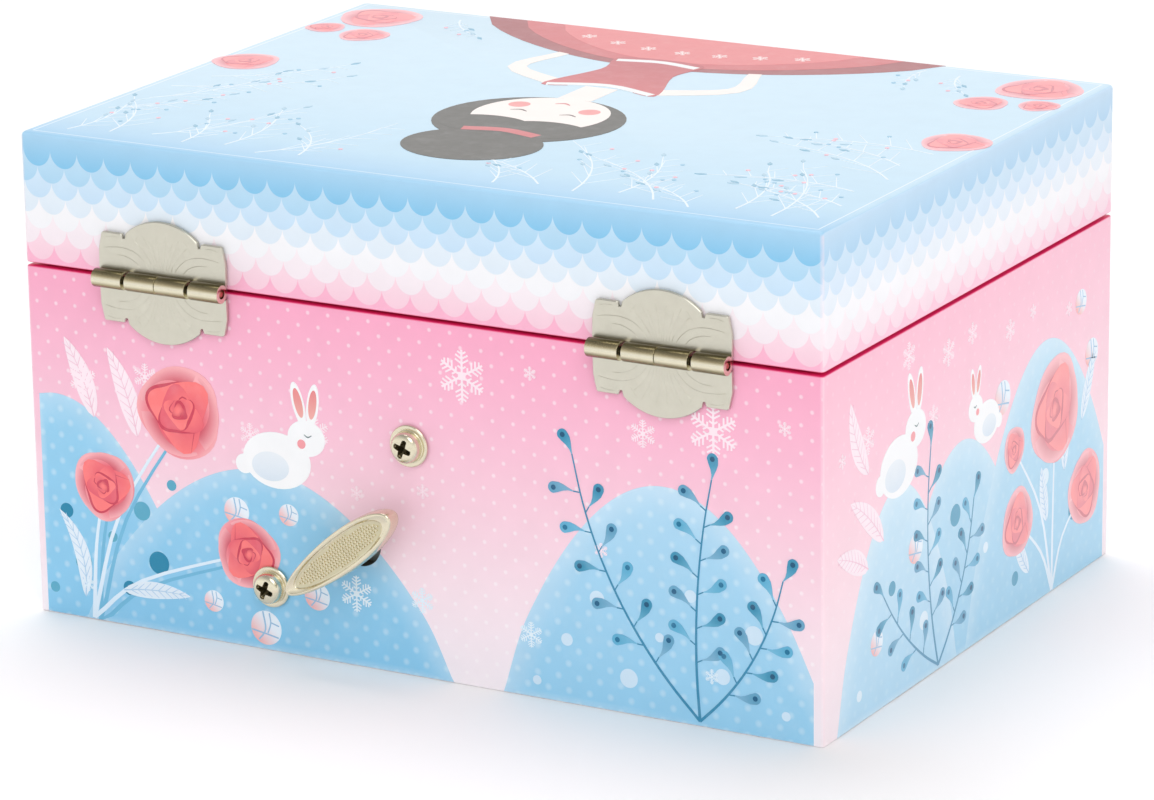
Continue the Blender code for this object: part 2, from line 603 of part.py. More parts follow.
def build_dancer(body):
    """The figure stands on a small seat above the pivot, arms raised in a ring."""
    figure_profile = [(2.4, 3.6), (2.6, 4.2), (1.5, 4.8), (0.7, 6.0), (0.8, 8.0), (1.5, 11.0),
                      (1.3, 13.0), (2.2, 17.0), (2.9, 19.0), (1.8, 22.0), (2.4, 25.0), (2.2, 26.2),
                      (0.9, 27.2), (0.9, 28.2)]
    figure = add("dancer_figure", turned(figure_profile, "Z", 0, 0, 14), SKIN, body, smooth=True,
                 local=True)
    join(figure, ball((0, 0, 30.2), 2.6), body, local=True)
    join(figure, ball((0, 1.6, 32.2), 1.3), body, local=True)
    for side in (-1, 1):
        path, radii = [], []
        for k in range(10):
            angle = math.radians(-70 + 154 * k / 9)
            path.append((side * (0.4 + 5.0 * math.cos(angle)), -0.1 * k, 31.4 + 8.0 * math.sin(angle)))
            radii.append(0.85 - 0.04 * k)
        join(figure, sweep(path, radii, 8), body, local=True)
    tutu = [(3.25, 19.4), (7.0, 18.2), (11.5, 17.2), (11.5, 17.8), (7.0, 19.3), (3.25, 20.6)]
    add("dancer_tutu", turned(tutu, "Z", 0, 0, 28, closed=True), TULLE, body, smooth=True, local=True)


def ball(centre, radius):
    bm = bmesh.new()
    bmesh.ops.create_icosphere(bm, subdivisions=2, radius=radius)
    bmesh.ops.translate(bm, verts=bm.verts, vec=Vector(centre))
    return bm


# --------------------------------------------------------------------- lid stay

def build_stay(lid, arm_body):
    wall = IN_W - GAP
    case_plate = add("stay_case_bracket", box(wall - 1.2, wall, STAY_Y - 5, STAY_Y + 5, STAY_LOW - 6,
                                              STAY_LOW + 4), NICKEL)
    join(case_plate, rod("X", STAY_Y, STAY_LOW, 1.4, 86.4, wall - 0.6, 16))
    join(case_plate, rod("X", STAY_Y, STAY_LOW, 2.6, 86.0, 86.9, 16))
    lid_plate = add("stay_lid_bracket", box(wall - 1.2, wall, STAY_Y - 5, STAY_Y + 5, STAY_HIGH - 4,
                                            STAY_HIGH + 6), NICKEL, lid)
    join(lid_plate, rod("X", STAY_Y, STAY_HIGH, 1.4, 86.4, wall - 0.6, 16), lid)
    join(lid_plate, rod("X", STAY_Y, STAY_HIGH, 2.6, 86.0, 86.9, 16), lid)

    length, half = 71.0, 3.6
    arm = add("stay_arm", bar_outline(STAY_HIGH, STAY_HIGH - length, half), NICKEL, arm_body, smooth=True)
    cut(arm, rod("X", STAY_Y, STAY_HIGH, 1.7, 86, 90, 16), arm_body)
    slot = prism(round_ended(STAY_Y, STAY_LOW + 1.5, STAY_HIGH - length + 2.2, 1.75), "X", 86, 90)
    cut(arm, slot, arm_body)


def round_ended(y, top, bottom, half, steps=8):
    """A slot's outline in Y and Z, its half circles inside the top and bottom levels."""
    points = []
    for k in range(steps + 1):
        angle = math.pi * k / steps
        points.append((y + half * math.cos(angle), top - half + half * math.sin(angle)))
    for k in range(steps + 1):
        angle = math.pi + math.pi * k / steps
        points.append((y + half * math.cos(angle), bottom + half + half * math.sin(angle)))
    return points


def bar_outline(top, bottom, half):
    return prism(round_ended(STAY_Y, top + half, bottom, half), "X", STAY_X - 0.6, STAY_X + 0.6)


def main():
    clear_scene()
    lid = pivot("lid", 0, HINGE_Y, HINGE_Z)
    stay_arm = pivot("stay_pivot", STAY_X, STAY_Y, STAY_HIGH, lid)
    key = pivot("key_axis", KEY_X, HALF_D, KEY_Z)
    barrel = pivot("barrel_axis", KEY_X, BARREL_Y, KEY_Z)
    cylinder = pivot("cylinder_axis", CYL_X, CYL_Y, CYL_Z[0])
    governor = pivot("governor_axis", GOV_X, CYL_Y, WORM_Z)
    worm = pivot("worm_axis", -1.2, WORM_Y, WORM_Z)
    spindle = pivot("spindle_axis", CYL_X, DANCER_Y, DECK_TOP)
    dancer = pivot("dancer_pivot", CYL_X, DANCER_Y, PIVOT_Z, spindle, lean=LEAN)
    plunger = pivot("plunger_axis", PLUNGER_X, PLUNGER_Y, DECK_TOP)

    build_case()
    build_lid(lid)
    build_interior()
    build_hinges(lid)
    build_key(key)
    build_movement_screws()
    build_frame()
    build_barrel(barrel)
    build_cylinder(cylinder)
    build_governor(governor, worm)
    build_plunger(plunger)
    build_spindle(spindle)
    build_dancer(dancer)
    build_stay(lid, stay_arm)


main()
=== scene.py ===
"""Looks of the ballerina jewellery box: printed paper, plated fittings, velour and the dancer.

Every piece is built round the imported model's nodes. Figures are millimetres unless a
name ends in _M, and each mesh is scaled to metres as it is made. The lid's pattern and
the case's paper are shader maths in object space; the printed pictures are thin closed
plates, at most 0.25 mm proud, with their colours on the vertices. A plate's level sets how
far it stands out, so that plates which cross never share a height.
"""
import json
import math

import bmesh
import bpy
from mathutils import Matrix, Vector
from mathutils.geometry import delaunay_2d_cdt

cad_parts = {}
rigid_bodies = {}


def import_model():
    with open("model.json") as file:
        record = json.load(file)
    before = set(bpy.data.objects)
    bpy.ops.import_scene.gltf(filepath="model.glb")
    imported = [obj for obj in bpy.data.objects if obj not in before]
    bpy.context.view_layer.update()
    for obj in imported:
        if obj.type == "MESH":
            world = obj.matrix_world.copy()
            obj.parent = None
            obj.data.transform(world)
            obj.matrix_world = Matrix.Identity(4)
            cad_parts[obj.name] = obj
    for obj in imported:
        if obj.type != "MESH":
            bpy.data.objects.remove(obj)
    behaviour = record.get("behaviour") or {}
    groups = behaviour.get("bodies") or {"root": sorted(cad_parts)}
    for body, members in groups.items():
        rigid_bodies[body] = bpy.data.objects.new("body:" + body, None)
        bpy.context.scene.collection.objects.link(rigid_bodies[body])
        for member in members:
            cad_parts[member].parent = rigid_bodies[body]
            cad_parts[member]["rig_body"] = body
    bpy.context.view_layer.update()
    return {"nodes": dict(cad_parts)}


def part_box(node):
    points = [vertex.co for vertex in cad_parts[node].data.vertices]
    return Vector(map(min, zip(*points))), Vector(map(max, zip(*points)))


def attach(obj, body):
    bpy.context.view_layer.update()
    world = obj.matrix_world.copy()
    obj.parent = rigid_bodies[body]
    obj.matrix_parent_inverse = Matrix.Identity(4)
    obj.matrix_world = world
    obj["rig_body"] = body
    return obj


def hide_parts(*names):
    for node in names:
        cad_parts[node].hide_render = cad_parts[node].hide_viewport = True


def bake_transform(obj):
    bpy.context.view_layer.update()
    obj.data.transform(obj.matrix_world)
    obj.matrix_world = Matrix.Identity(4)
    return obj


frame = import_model()
nodes = frame["nodes"]

MM = 0.001
HALF_W, HALF_D, CASE_H, BOX_H = 95.0, 70.0, 77.7, 107.0
WALL = 4.0
HINGE_X, HINGE_Y, HINGE_Z = 59.5, 72.6, 78.05
LEAF_BACK, LEAF_T = 70.3, 0.8
LEAF_HALF, LEAF_ARC = 15.8, 13.3
KEY_X, KEY_Z, KEY_TILT, KEY_HOLE = 13.0, 27.4, math.radians(38.4), 5.0
SEAM_LOW, SEAM_HIGH, LID_UNDER = 77.5, 78.6, 103.5
DOT_PITCH = (4.87, 2.92)
PLATE_FOOT, PLATE_RISE, PLATE_STEP = -0.05, 0.02, 0.009
SCREWS = {"movement_screw_upper": (0.3, 50.5), "movement_screw_lower": (35.1, 14.6)}
DANCER_X, DANCER_Y, PIVOT_Z, LEAN = 13.0, 23.9, 73.5, math.radians(62)
HEAD_W, HEAD_D, HEAD_H, HEAD_Z = 2.18, 2.28, 2.55, 30.2
COIL_BASE, COIL_LENGTH, COIL_TURNS, COIL_RADIUS = 70.8, 5.2, 5, 2.2
LEGS = ((1, 0.0), (-1, 0.35))
GOLDEN = 0.618
CAMERA_PLACE_M, CAMERA_LENS = (-0.5495, 0.9726, 0.3758), 167.2
CAMERA_AZIMUTH, CAMERA_ELEVATION, CAMERA_ROLL = (math.radians(a) for a in (209.474, 16.658, -0.848))


# ---------------------------------------------------------------------- helpers

def rgb(r, g, b):
    """A screen colour, 0 to 255, as linear light."""
    return tuple(c / 255 / 12.92 if c <= 10 else ((c / 255 + 0.055) / 1.055) ** 2.4 for c in (r, g, b))


def lerp(a, b, t):
    return tuple(x + (y - x) * t for x, y in zip(a, b))


def clamp(t, low=0.0, high=1.0):
    return max(low, min(high, t))


def polar(u, v, radius, angle):
    return (u + radius * math.cos(angle), v + radius * math.sin(angle))


def circle(u, v, radius, count):
    return [polar(u, v, radius, math.tau * k / count) for k in range(count)]


def heading(points, k):
    """Unit direction of a polyline at its k-th point."""
    return (points[min(k + 1, len(points) - 1)] - points[max(k - 1, 0)]).normalized()


def mesh_object(name, bm):
    """Put bm, modelled in millimetres, into the scene in metres."""
    mesh = bpy.data.meshes.new(name)
    bm.to_mesh(mesh)
    bm.free()
    mesh.transform(Matrix.Scale(MM, 4))
    obj = bpy.data.objects.new(name, mesh)
    bpy.context.scene.collection.objects.link(obj)
    return obj


def smooth(obj, angle):
    obj.data.shade_smooth()
    obj.data.set_sharp_from_angle(angle=math.radians(angle))


def object_from(name, bm, material, body, angle=30.0):
    bmesh.ops.recalc_face_normals(bm, faces=bm.faces)
    obj = mesh_object(name, bm)
    for each in (material if isinstance(material, list) else [material]):
        obj.data.materials.append(each)
    if angle:
        smooth(obj, angle)
    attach(obj, body)
    return obj


def apply_modifiers(obj):
    graph = bpy.context.evaluated_depsgraph_get()
    mesh = bpy.data.meshes.new_from_object(obj.evaluated_get(graph))
    old, name = obj.data, obj.data.name
    obj.modifiers.clear()
    obj.data = mesh
    bpy.data.meshes.remove(old)
    mesh.name = name


def cut(obj, bm):
    bmesh.ops.recalc_face_normals(bm, faces=bm.faces)
    cutter = mesh_object("cutter", bm)
    modifier = obj.modifiers.new("cut", "BOOLEAN")
    modifier.operation, modifier.solver, modifier.object = "DIFFERENCE", "EXACT", cutter
    apply_modifiers(obj)
    bpy.data.objects.remove(cutter)


def add_rings(bm, rings, closed=False, caps=True):
    """Skin a row of rings with equal counts; closed joins the last to the first."""
    loops = [[bm.verts.new(point) for point in ring] for ring in rings]
    pairs = list(zip(loops, loops[1:]))
    if closed:
        pairs.append((loops[-1], loops[0]))
    made = []
    count = len(loops[0])
    for a, b in pairs:
        for k in range(count):
            made.append(bm.faces.new((a[k], a[(k + 1) % count], b[(k + 1) % count], b[k])))
    if not closed and caps:
        made.append(bm.faces.new(loops[0]))
        made.append(bm.faces.new(loops[-1]))
    return made


def ring(axis, u, v, h, radius, count):
    return [{"X": (h, p, q), "Y": (p, h, q), "Z": (p, q, h)}[axis] for p, q in circle(u, v, radius, count)]


def add_turned(bm, profile, axis, u, v, count=48, closed=False):
    """Turn a profile of (radius, height) round an axis through (u, v)."""
    return add_rings(bm, [ring(axis, u, v, h, r, count) for r, h in profile], closed)


def add_sweep(bm, path, radius, sides=12):
    """A round tube along a path; radius is one figure or one for each point."""
    points = [Vector(p) for p in path]
    radii = radius if isinstance(radius, list) else [radius] * len(points)
    side, rings = None, []
    for k, point in enumerate(points):
        ahead = heading(points, k)
        side = side or ahead.orthogonal().normalized()
        side = (side - ahead * side.dot(ahead)).normalized()
        other = ahead.cross(side)
        turns = [math.tau * s / sides for s in range(sides)]
        rings.append([point + (side * math.cos(a) + other * math.sin(a)) * radii[k] for a in turns])
    add_rings(bm, rings)


def add_block(bm, x0, x1, y0, y1, z0, z1):
    for vert in bmesh.ops.create_cube(bm, size=1.0)["verts"]:
        vert.co = (x1 if vert.co.x > 0 else x0, y1 if vert.co.y > 0 else y0, z1 if vert.co.z > 0 else z0)


def add_ball(bm, segments, rows, place):
    """A sphere whose unit-sphere points are moved by place(x, y, z)."""
    for vert in bmesh.ops.create_uvsphere(bm, u_segments=segments, v_segments=rows, radius=1.0)["verts"]:
        vert.co = place(*vert.co)


def smooth_path(points, steps=6, closed=False):
    """Catmull-Rom curve through points of any dimension."""
    points = [Vector(p) for p in points]
    count = len(points)
    spans = count if closed else count - 1
    out = []
    for k in range(spans):
        if closed:
            p0, p1, p2, p3 = (points[(k + d) % count] for d in (-1, 0, 1, 2))
        else:
            p1, p2 = points[k], points[k + 1]
            p0 = points[k - 1] if k else p1 * 2 - p2
            p3 = points[k + 2] if k + 2 < count else p2 * 2 - p1
        for s in range(steps):
            t = s / steps
            out.append(0.5 * (2 * p1 + (p2 - p0) * t + (2 * p0 - 5 * p1 + 4 * p2 - p3) * t * t
                              + (3 * p1 - p0 - 3 * p2 + p3) * t ** 3))
    if not closed:
        out.append(points[-1])
    return out


def inside(point, outline):
    """Whether a flat point lies inside a closed outline."""
    x, y = point
    hit = False
    for k in range(len(outline)):
        (x1, y1), (x2, y2) = outline[k - 1], outline[k]
        if (y1 > y) != (y2 > y) and x < (x2 - x1) * (y - y1) / (y2 - y1) + x1:
            hit = not hit
    return hit


# ---------------------------------------------------------------- shader graphs

class Graph:
    """A material whose colours come from maths on object-space millimetres."""

    def __init__(self, name, **constants):
        self.mat = bpy.data.materials.new(name)
        self.mat.use_nodes = True
        self.tree = self.mat.node_tree
        self.shader = self.tree.nodes["Principled BSDF"]
        for key, value in constants.items():
            self.shader.inputs[key.replace("_", " ")].default_value = value
        self.coords = self.tree.nodes.new("ShaderNodeTexCoord")
        scale = self.tree.nodes.new("ShaderNodeVectorMath")
        scale.operation = "SCALE"
        scale.inputs["Scale"].default_value = 1 / MM
        self.tree.links.new(self.coords.outputs["Object"], scale.inputs[0])
        self.place = scale.outputs[0]

    def split(self, vector):
        node = self.tree.nodes.new("ShaderNodeSeparateXYZ")
        self.tree.links.new(vector, node.inputs[0])
        return node.outputs

    def xyz(self):
        return self.split(self.place)

    def normal(self):
        return self.split(self.coords.outputs["Normal"])

    def feed(self, socket, value):
        if isinstance(value, bpy.types.NodeSocket):
            self.tree.links.new(value, socket)
        elif isinstance(value, tuple) and len(value) == 3:
            socket.default_value = (*value, 1.0)
        else:
            socket.default_value = value

    def math(self, operation, *values, clamped=False):
        node = self.tree.nodes.new("ShaderNodeMath")
        node.operation, node.use_clamp = operation, clamped
        for socket, value in zip(node.inputs, values):
            self.feed(socket, value)
        return node.outputs[0]

    def add(self, a, b):
        return self.math("ADD", a, b)

    def sub(self, a, b, clamped=False):
        return self.math("SUBTRACT", a, b, clamped=clamped)

    def mul(self, a, b):
        return self.math("MULTIPLY", a, b)

    def share(self, a, b):
        """a over b, kept between 0 and 1."""
        return self.math("DIVIDE", a, b, clamped=True)

    def affine(self, value, scale, offset, clamped=False):
        return self.math("MULTIPLY_ADD", value, scale, offset, clamped=clamped)

    def size(self, value):
        return self.math("ABSOLUTE", value)

    def mix(self, factor, a, b, mode="MIX"):
        node = self.tree.nodes.new("ShaderNodeMix")
        node.data_type, node.blend_type = "RGBA", mode
        self.feed(node.inputs[0], factor)
        self.feed(node.inputs[6], a)
        self.feed(node.inputs[7], b)
        return node.outputs[2]

    def ramp(self, factor, stops):
        node = self.tree.nodes.new("ShaderNodeValToRGB")
        elements = node.color_ramp.elements
        while len(elements) < len(stops):
            elements.new(0.5)
        for element, (position, colour) in zip(elements, stops):
            element.position, element.color = position, (*colour, 1.0)
        self.feed(node.inputs[0], factor)
        return node.outputs[0]

    def noise(self, scale, detail=3.0, rough=0.55, vector=None, stretch=None):
        node = self.tree.nodes.new("ShaderNodeTexNoise")
        node.inputs["Scale"].default_value = scale
        node.inputs["Detail"].default_value = detail
        node.inputs["Roughness"].default_value = rough
        source = vector or self.place
        if stretch:
            mapping = self.tree.nodes.new("ShaderNodeMapping")
            mapping.inputs["Scale"].default_value = stretch
            self.tree.links.new(source, mapping.inputs[0])
            source = mapping.outputs[0]
        self.tree.links.new(source, node.inputs["Vector"])
        return node.outputs["Fac"]

    def step(self, value, edge, soft):
        """0 below the edge, 1 above it, with a soft band this wide."""
        lifted = self.sub(value, edge)
        return self.affine(lifted, 1 / soft, 0.5, clamped=True)

    def spread(self, value, low, high):
        node = self.tree.nodes.new("ShaderNodeMapRange")
        self.feed(node.inputs[0], value)
        node.inputs[3].default_value, node.inputs[4].default_value = low, high
        return node.outputs[0]

    def bump(self, height, strength, distance_mm):
        node = self.tree.nodes.new("ShaderNodeBump")
        node.inputs["Strength"].default_value = strength
        node.inputs["Distance"].default_value = distance_mm * MM
        self.feed(node.inputs["Height"], height)
        self.tree.links.new(node.outputs[0], self.shader.inputs["Normal"])

    def finish(self, colour=None, roughness=None):
        if colour is not None:
            self.feed(self.shader.inputs["Base Color"], colour)
        if roughness is not None:
            self.feed(self.shader.inputs["Roughness"], roughness)
        return self.mat


def dot_grid(g, u, v, radius, soft):
    """Round dots on a staggered grid; 1 inside a dot."""
    pitch_u, pitch_v = DOT_PITCH
    found = None
    for shift in (0.0, 0.5):
        du = g.math("FRACT", g.affine(u, 1 / pitch_u, shift + 100))
        dv = g.math("FRACT", g.affine(v, 0.5 / pitch_v, shift + 100))
        du = g.mul(g.sub(du, 0.5), pitch_u)
        dv = g.mul(g.sub(dv, 0.5), 2 * pitch_v)
        far = g.math("SQRT", g.add(g.mul(du, du), g.mul(dv, dv)))
        hit = g.sub(1.0, g.step(far, radius, soft))
        found = hit if found is None else g.math("MAXIMUM", found, hit)
    return found


def along_face(g):
    """x on the front and back faces, y on the sides."""
    x, y, _ = g.xyz()
    on_side = g.step(g.size(g.normal()[0]), 0.7, 0.1)
    u = g.add(g.mul(y, on_side), g.mul(x, g.sub(1.0, on_side)))
    return u, on_side


def laminate(g, colour):
    """Satin print film over board: fibre mottling in the ink, faint ripple, soft gloss."""
    wash = g.spread(g.noise(0.16, 4.0), 0.965, 1.035)
    fibre = g.spread(g.noise(3.2, 2.0, stretch=(1.0, 1.0, 2.6)), 0.985, 1.015)
    tone = g.mul(wash, fibre)
    tinted = g.mix(1.0, colour, combine(g, tone), mode="MULTIPLY")
    g.bump(g.noise(1.4, 3.0), 0.05, 0.05)
    return g.finish(tinted, g.spread(g.noise(0.5, 3.0), 0.30, 0.42))


def combine(g, value):
    node = g.tree.nodes.new("ShaderNodeCombineColor")
    for socket in node.inputs[:3]:
        g.feed(socket, value)
    return node.outputs[0]


PAPER = dict(Specular_IOR_Level=0.34, Coat_Weight=0.14, Coat_Roughness=0.22)
CASE_RAMP = [(0.0, rgb(248, 241, 246)), (0.25, rgb(248, 226, 234)), (0.5, rgb(247, 206, 220)),
             (0.75, rgb(248, 186, 209)), (1.0, rgb(249, 168, 198))]
SCALE_PITCH, SCALE_DEEP = 6.77, 3.7
SCALE_ROWS = [(99.9, rgb(140, 200, 235)), (96.4, rgb(176, 216, 241)), (93.0, rgb(200, 226, 246)),
              (89.6, rgb(224, 236, 246)), (86.2, rgb(244, 244, 247)), (82.8, rgb(246, 234, 240)),
              (79.4, rgb(249, 209, 223))]
SCALE_BASE = rgb(251, 181, 207)
# Painted shade: a deep pink band on the rims, standing in for the shade in the gap where lid meets case.
SEAM_SHADE = rgb(232, 48, 116)


def case_paper():
    g = Graph("case_print", **PAPER)
    u, on_side = along_face(g)
    z = g.xyz()[2]
    height = g.math("DIVIDE", z, CASE_H)
    colour = g.ramp(height, CASE_RAMP)
    # Painted light: the side faces are washed paler than the back and front, as the light falls on them.
    colour = g.mix(g.mul(on_side, 0.35), colour, rgb(255, 228, 232))
    dots = dot_grid(g, u, z, 0.42, 0.3)
    colour = worn(g, g.mix(g.mul(dots, g.affine(on_side, -0.3, 0.42)), colour, (1.0, 0.96, 0.97)))
    # Above SEAM_LOW the case's rim takes the painted seam shade.
    return laminate(g, g.mix(g.step(z, SEAM_LOW, 0.3), colour, SEAM_SHADE))


def worn(g, colour):
    """Paper rubbed paler along the box's upright corners."""
    x, y, _ = g.xyz()
    corner = g.add(g.sub(g.size(x), HALF_W),
                    g.sub(g.size(y), HALF_D))
    rub = g.step(corner, -0.55, 0.5)
    rub = g.mul(rub, g.spread(g.noise(0.35, 4.0), 0.1, 0.9))
    return g.mix(rub, colour, rgb(252, 226, 232))


def scallop(g, u, shift):
    w = g.math("FRACT", g.affine(u, 1 / SCALE_PITCH, 40.0 - 40.1 / SCALE_PITCH + shift))
    w = g.affine(w, 2.0, -1.0)
    bow = g.math("SQRT", g.sub(1.0, g.mul(w, w), clamped=True))
    return g.affine(bow, -SCALE_DEEP, SCALE_DEEP)


def lid_paper():
    g = Graph("lid_print", **PAPER)
    u, on_side = along_face(g)
    x, y, z = g.xyz()
    curves = (scallop(g, u, 0.0), scallop(g, u, 0.5))
    colour = SCALE_BASE
    for k in reversed(range(len(SCALE_ROWS))):
        bottom, ink = SCALE_ROWS[k]
        above = g.sub(g.sub(z, bottom), curves[k % 2])
        height = g.share(g.sub(z, bottom), 7.0)
        shaded = g.mix(height, lerp(ink, (1, 1, 1), -0.05), lerp(ink, (1, 1, 1), 0.2))
        colour = g.mix(g.affine(above, 6.0, 0.5, clamped=True), colour, shaded)
    # Painted light: the lid's side faces are washed paler too, as the light falls on them.
    colour = g.mix(g.mul(on_side, 0.25), colour, rgb(252, 246, 250))
    # Painted reflection: the top is a deeper blue at its back edge and paler further from it, for the whitish
    # sheen it shows where the view grazes it.
    from_back = g.sub(HALF_D, y)
    top = g.ramp(g.share(from_back, 60.0),
                 [(0.0, rgb(160, 204, 233)), (0.1, rgb(178, 212, 236)), (0.3, rgb(193, 221, 238)),
                  (1.0, rgb(202, 226, 240))])
    near = g.math("MINIMUM", g.sub(HALF_W, g.size(x)),
                  g.sub(HALF_D, g.size(y)))
    line = g.sub(1.0, g.step(g.size(g.sub(near, 2.0)), 0.16, 0.1))
    top = g.mix(g.mul(line, 0.6), top, (0.97, 0.98, 1.0))
    colour = g.mix(g.step(g.normal()[2], 0.75, 0.2), colour, top)
    # Below SEAM_HIGH the lid's rim takes the painted seam shade.
    return laminate(g, g.mix(g.step(z, SEAM_HIGH, 0.3), SEAM_SHADE, worn(g, colour)))


def plain_paper(name, colour):
    g = Graph(name, **PAPER)
    tint = g.mix(g.noise(0.08, 3.0), colour, lerp(colour, (1, 1, 1), 0.2))
    return laminate(g, tint)


def ink():
    """Printed pictures: colour from the vertices, a watercolour wash over it."""
    g = Graph("art_print", **PAPER)
    source = g.tree.nodes.new("ShaderNodeVertexColor")
    source.layer_name = "tint"
    u, on_side = along_face(g)
    wash = g.noise(0.22, 5.0, 0.6)
    colour = g.mix(g.spread(wash, -0.1, 0.1), source.outputs["Color"], (1.0, 1.0, 1.0))
    dots = dot_grid(g, u, g.xyz()[2], 0.62, 0.7)
    strength = g.mul(g.sub(1.0, source.outputs["Alpha"]), dots)
    strength = g.mul(strength, g.affine(on_side, -0.14, 0.24))
    colour = g.mix(strength, colour, (0.92, 0.97, 1.0))
    return laminate(g, colour)


def velour(name, colour):
    g = Graph(name, Sheen_Weight=0.7, Sheen_Roughness=0.4, Specular_IOR_Level=0.15)
    nap = g.noise(2.2, 4.0, 0.65)
    brushed = g.noise(0.09, 3.0, 0.5, stretch=(1.0, 2.4, 1.0))
    tone = g.mix(g.spread(nap, -0.1, 0.9), lerp(colour, (0, 0, 0), 0.22), lerp(colour, (1, 1, 1), 0.16))
    tone = g.mix(g.spread(brushed, -0.1, 0.5), tone, lerp(colour, (1, 1, 1), 0.3))
    g.bump(g.noise(5.0, 2.0, 0.7), 0.5, 0.12)
    return g.finish(tone, g.spread(nap, 0.75, 0.95))


def metal(name, colour, roughness, grain=(1.0, 1.0, 1.0), bite=0.12, rolled=False):
    """Plated metal; a rolled tube gets painted reflections: dark bands where it turns up and down, a bright
    band where it faces out.
    """
    g = Graph(name, Metallic=1.0)
    patch = g.noise(0.35, 4.0, 0.6)
    tone = g.mix(g.spread(patch, -0.1, 0.75), colour, lerp(colour, (0.3, 0.26, 0.2), 0.25))
    if rolled:
        # Painted reflection: by the normal's height, the tube is darkened where it turns up or down and left
        # bright where it faces out.
        turned = g.ramp(g.affine(g.normal()[2], 0.5, 0.5),
                        [(0.05, (0.2, 0.17, 0.1)), (0.24, (0.45, 0.4, 0.28)), (0.42, (1.0, 1.0, 0.95)),
                         (0.56, (1.0, 1.0, 1.0)), (0.72, (0.62, 0.56, 0.42)), (0.93, (0.2, 0.17, 0.1))])
        tone = g.mix(1.0, tone, turned, mode="MULTIPLY")
    lines = g.noise(3.5, 3.0, 0.6, stretch=grain)
    g.bump(lines, bite, 0.03)
    return g.finish(tone, g.spread(lines, roughness - 0.07, roughness + 0.1))


CASE_PRINT, LID_PRINT, ART = case_paper(), lid_paper(), ink()
BASE_PAPER = plain_paper("base_print", rgb(246, 196, 214))
INNER_PAPER = plain_paper("inner_print", rgb(250, 214, 226))
LINING = velour("lining_nap", rgb(247, 176, 198))
CUSHION = velour("cushion_nap", rgb(250, 196, 212))
NICKEL = metal("warm_nickel_plate", rgb(214, 211, 196), 0.30, grain=(1.0, 1.0, 6.0))
# The barrel's dark and bright bands are painted reflections.
BARREL = metal("rolled_nickel", rgb(232, 226, 204), 0.24, grain=(1.0, 4.0, 4.0), rolled=True)
KEY_NICKEL = metal("key_plate", rgb(230, 222, 196), 0.22, grain=(2.0, 1.0, 2.0))
KEY_PAN = metal("key_pan", rgb(210, 203, 172), 0.3, grain=(2.0, 1.0, 2.0))
COPPER = metal("copper_wire", rgb(196, 120, 104), 0.34)
STEEL = metal("bright_steel", rgb(196, 198, 200), 0.25, grain=(4.0, 4.0, 1.0))
BRASS = metal("rolled_brass", rgb(214, 178, 104), 0.27, grain=(5.0, 1.0, 1.0))
ZINC = metal("zinc_casting", rgb(158, 158, 156), 0.48, bite=0.3)
# Painted shade: a dark olive metal set where shade falls, in the key hole's wall, on the hinge wire between
# its knuckles and in the screws' cross recesses.
PAINTED_SHADE = Graph("painted_shade_dark", Roughness=0.4, Metallic=0.7)
PAINTED_SHADE.finish(PAINTED_SHADE.mix(PAINTED_SHADE.noise(1.0), rgb(44, 38, 24), rgb(92, 82, 54)))
mirror = Graph("mirror_glass", Metallic=1.0)
MIRROR = mirror.finish(mirror.mix(mirror.noise(0.05), rgb(226, 232, 236), rgb(232, 236, 238)),
                       mirror.spread(mirror.noise(0.4), 0.01, 0.035))


# ------------------------------------------------------------- printed pictures

def add_loop(points, edges, outline):
    """Add a closed outline to the points and edges of a flat triangulation."""
    start, count = len(points), len(outline)
    points += [Vector(p) for p in outline]
    edges += [(start + k, start + (k + 1) % count) for k in range(count)]


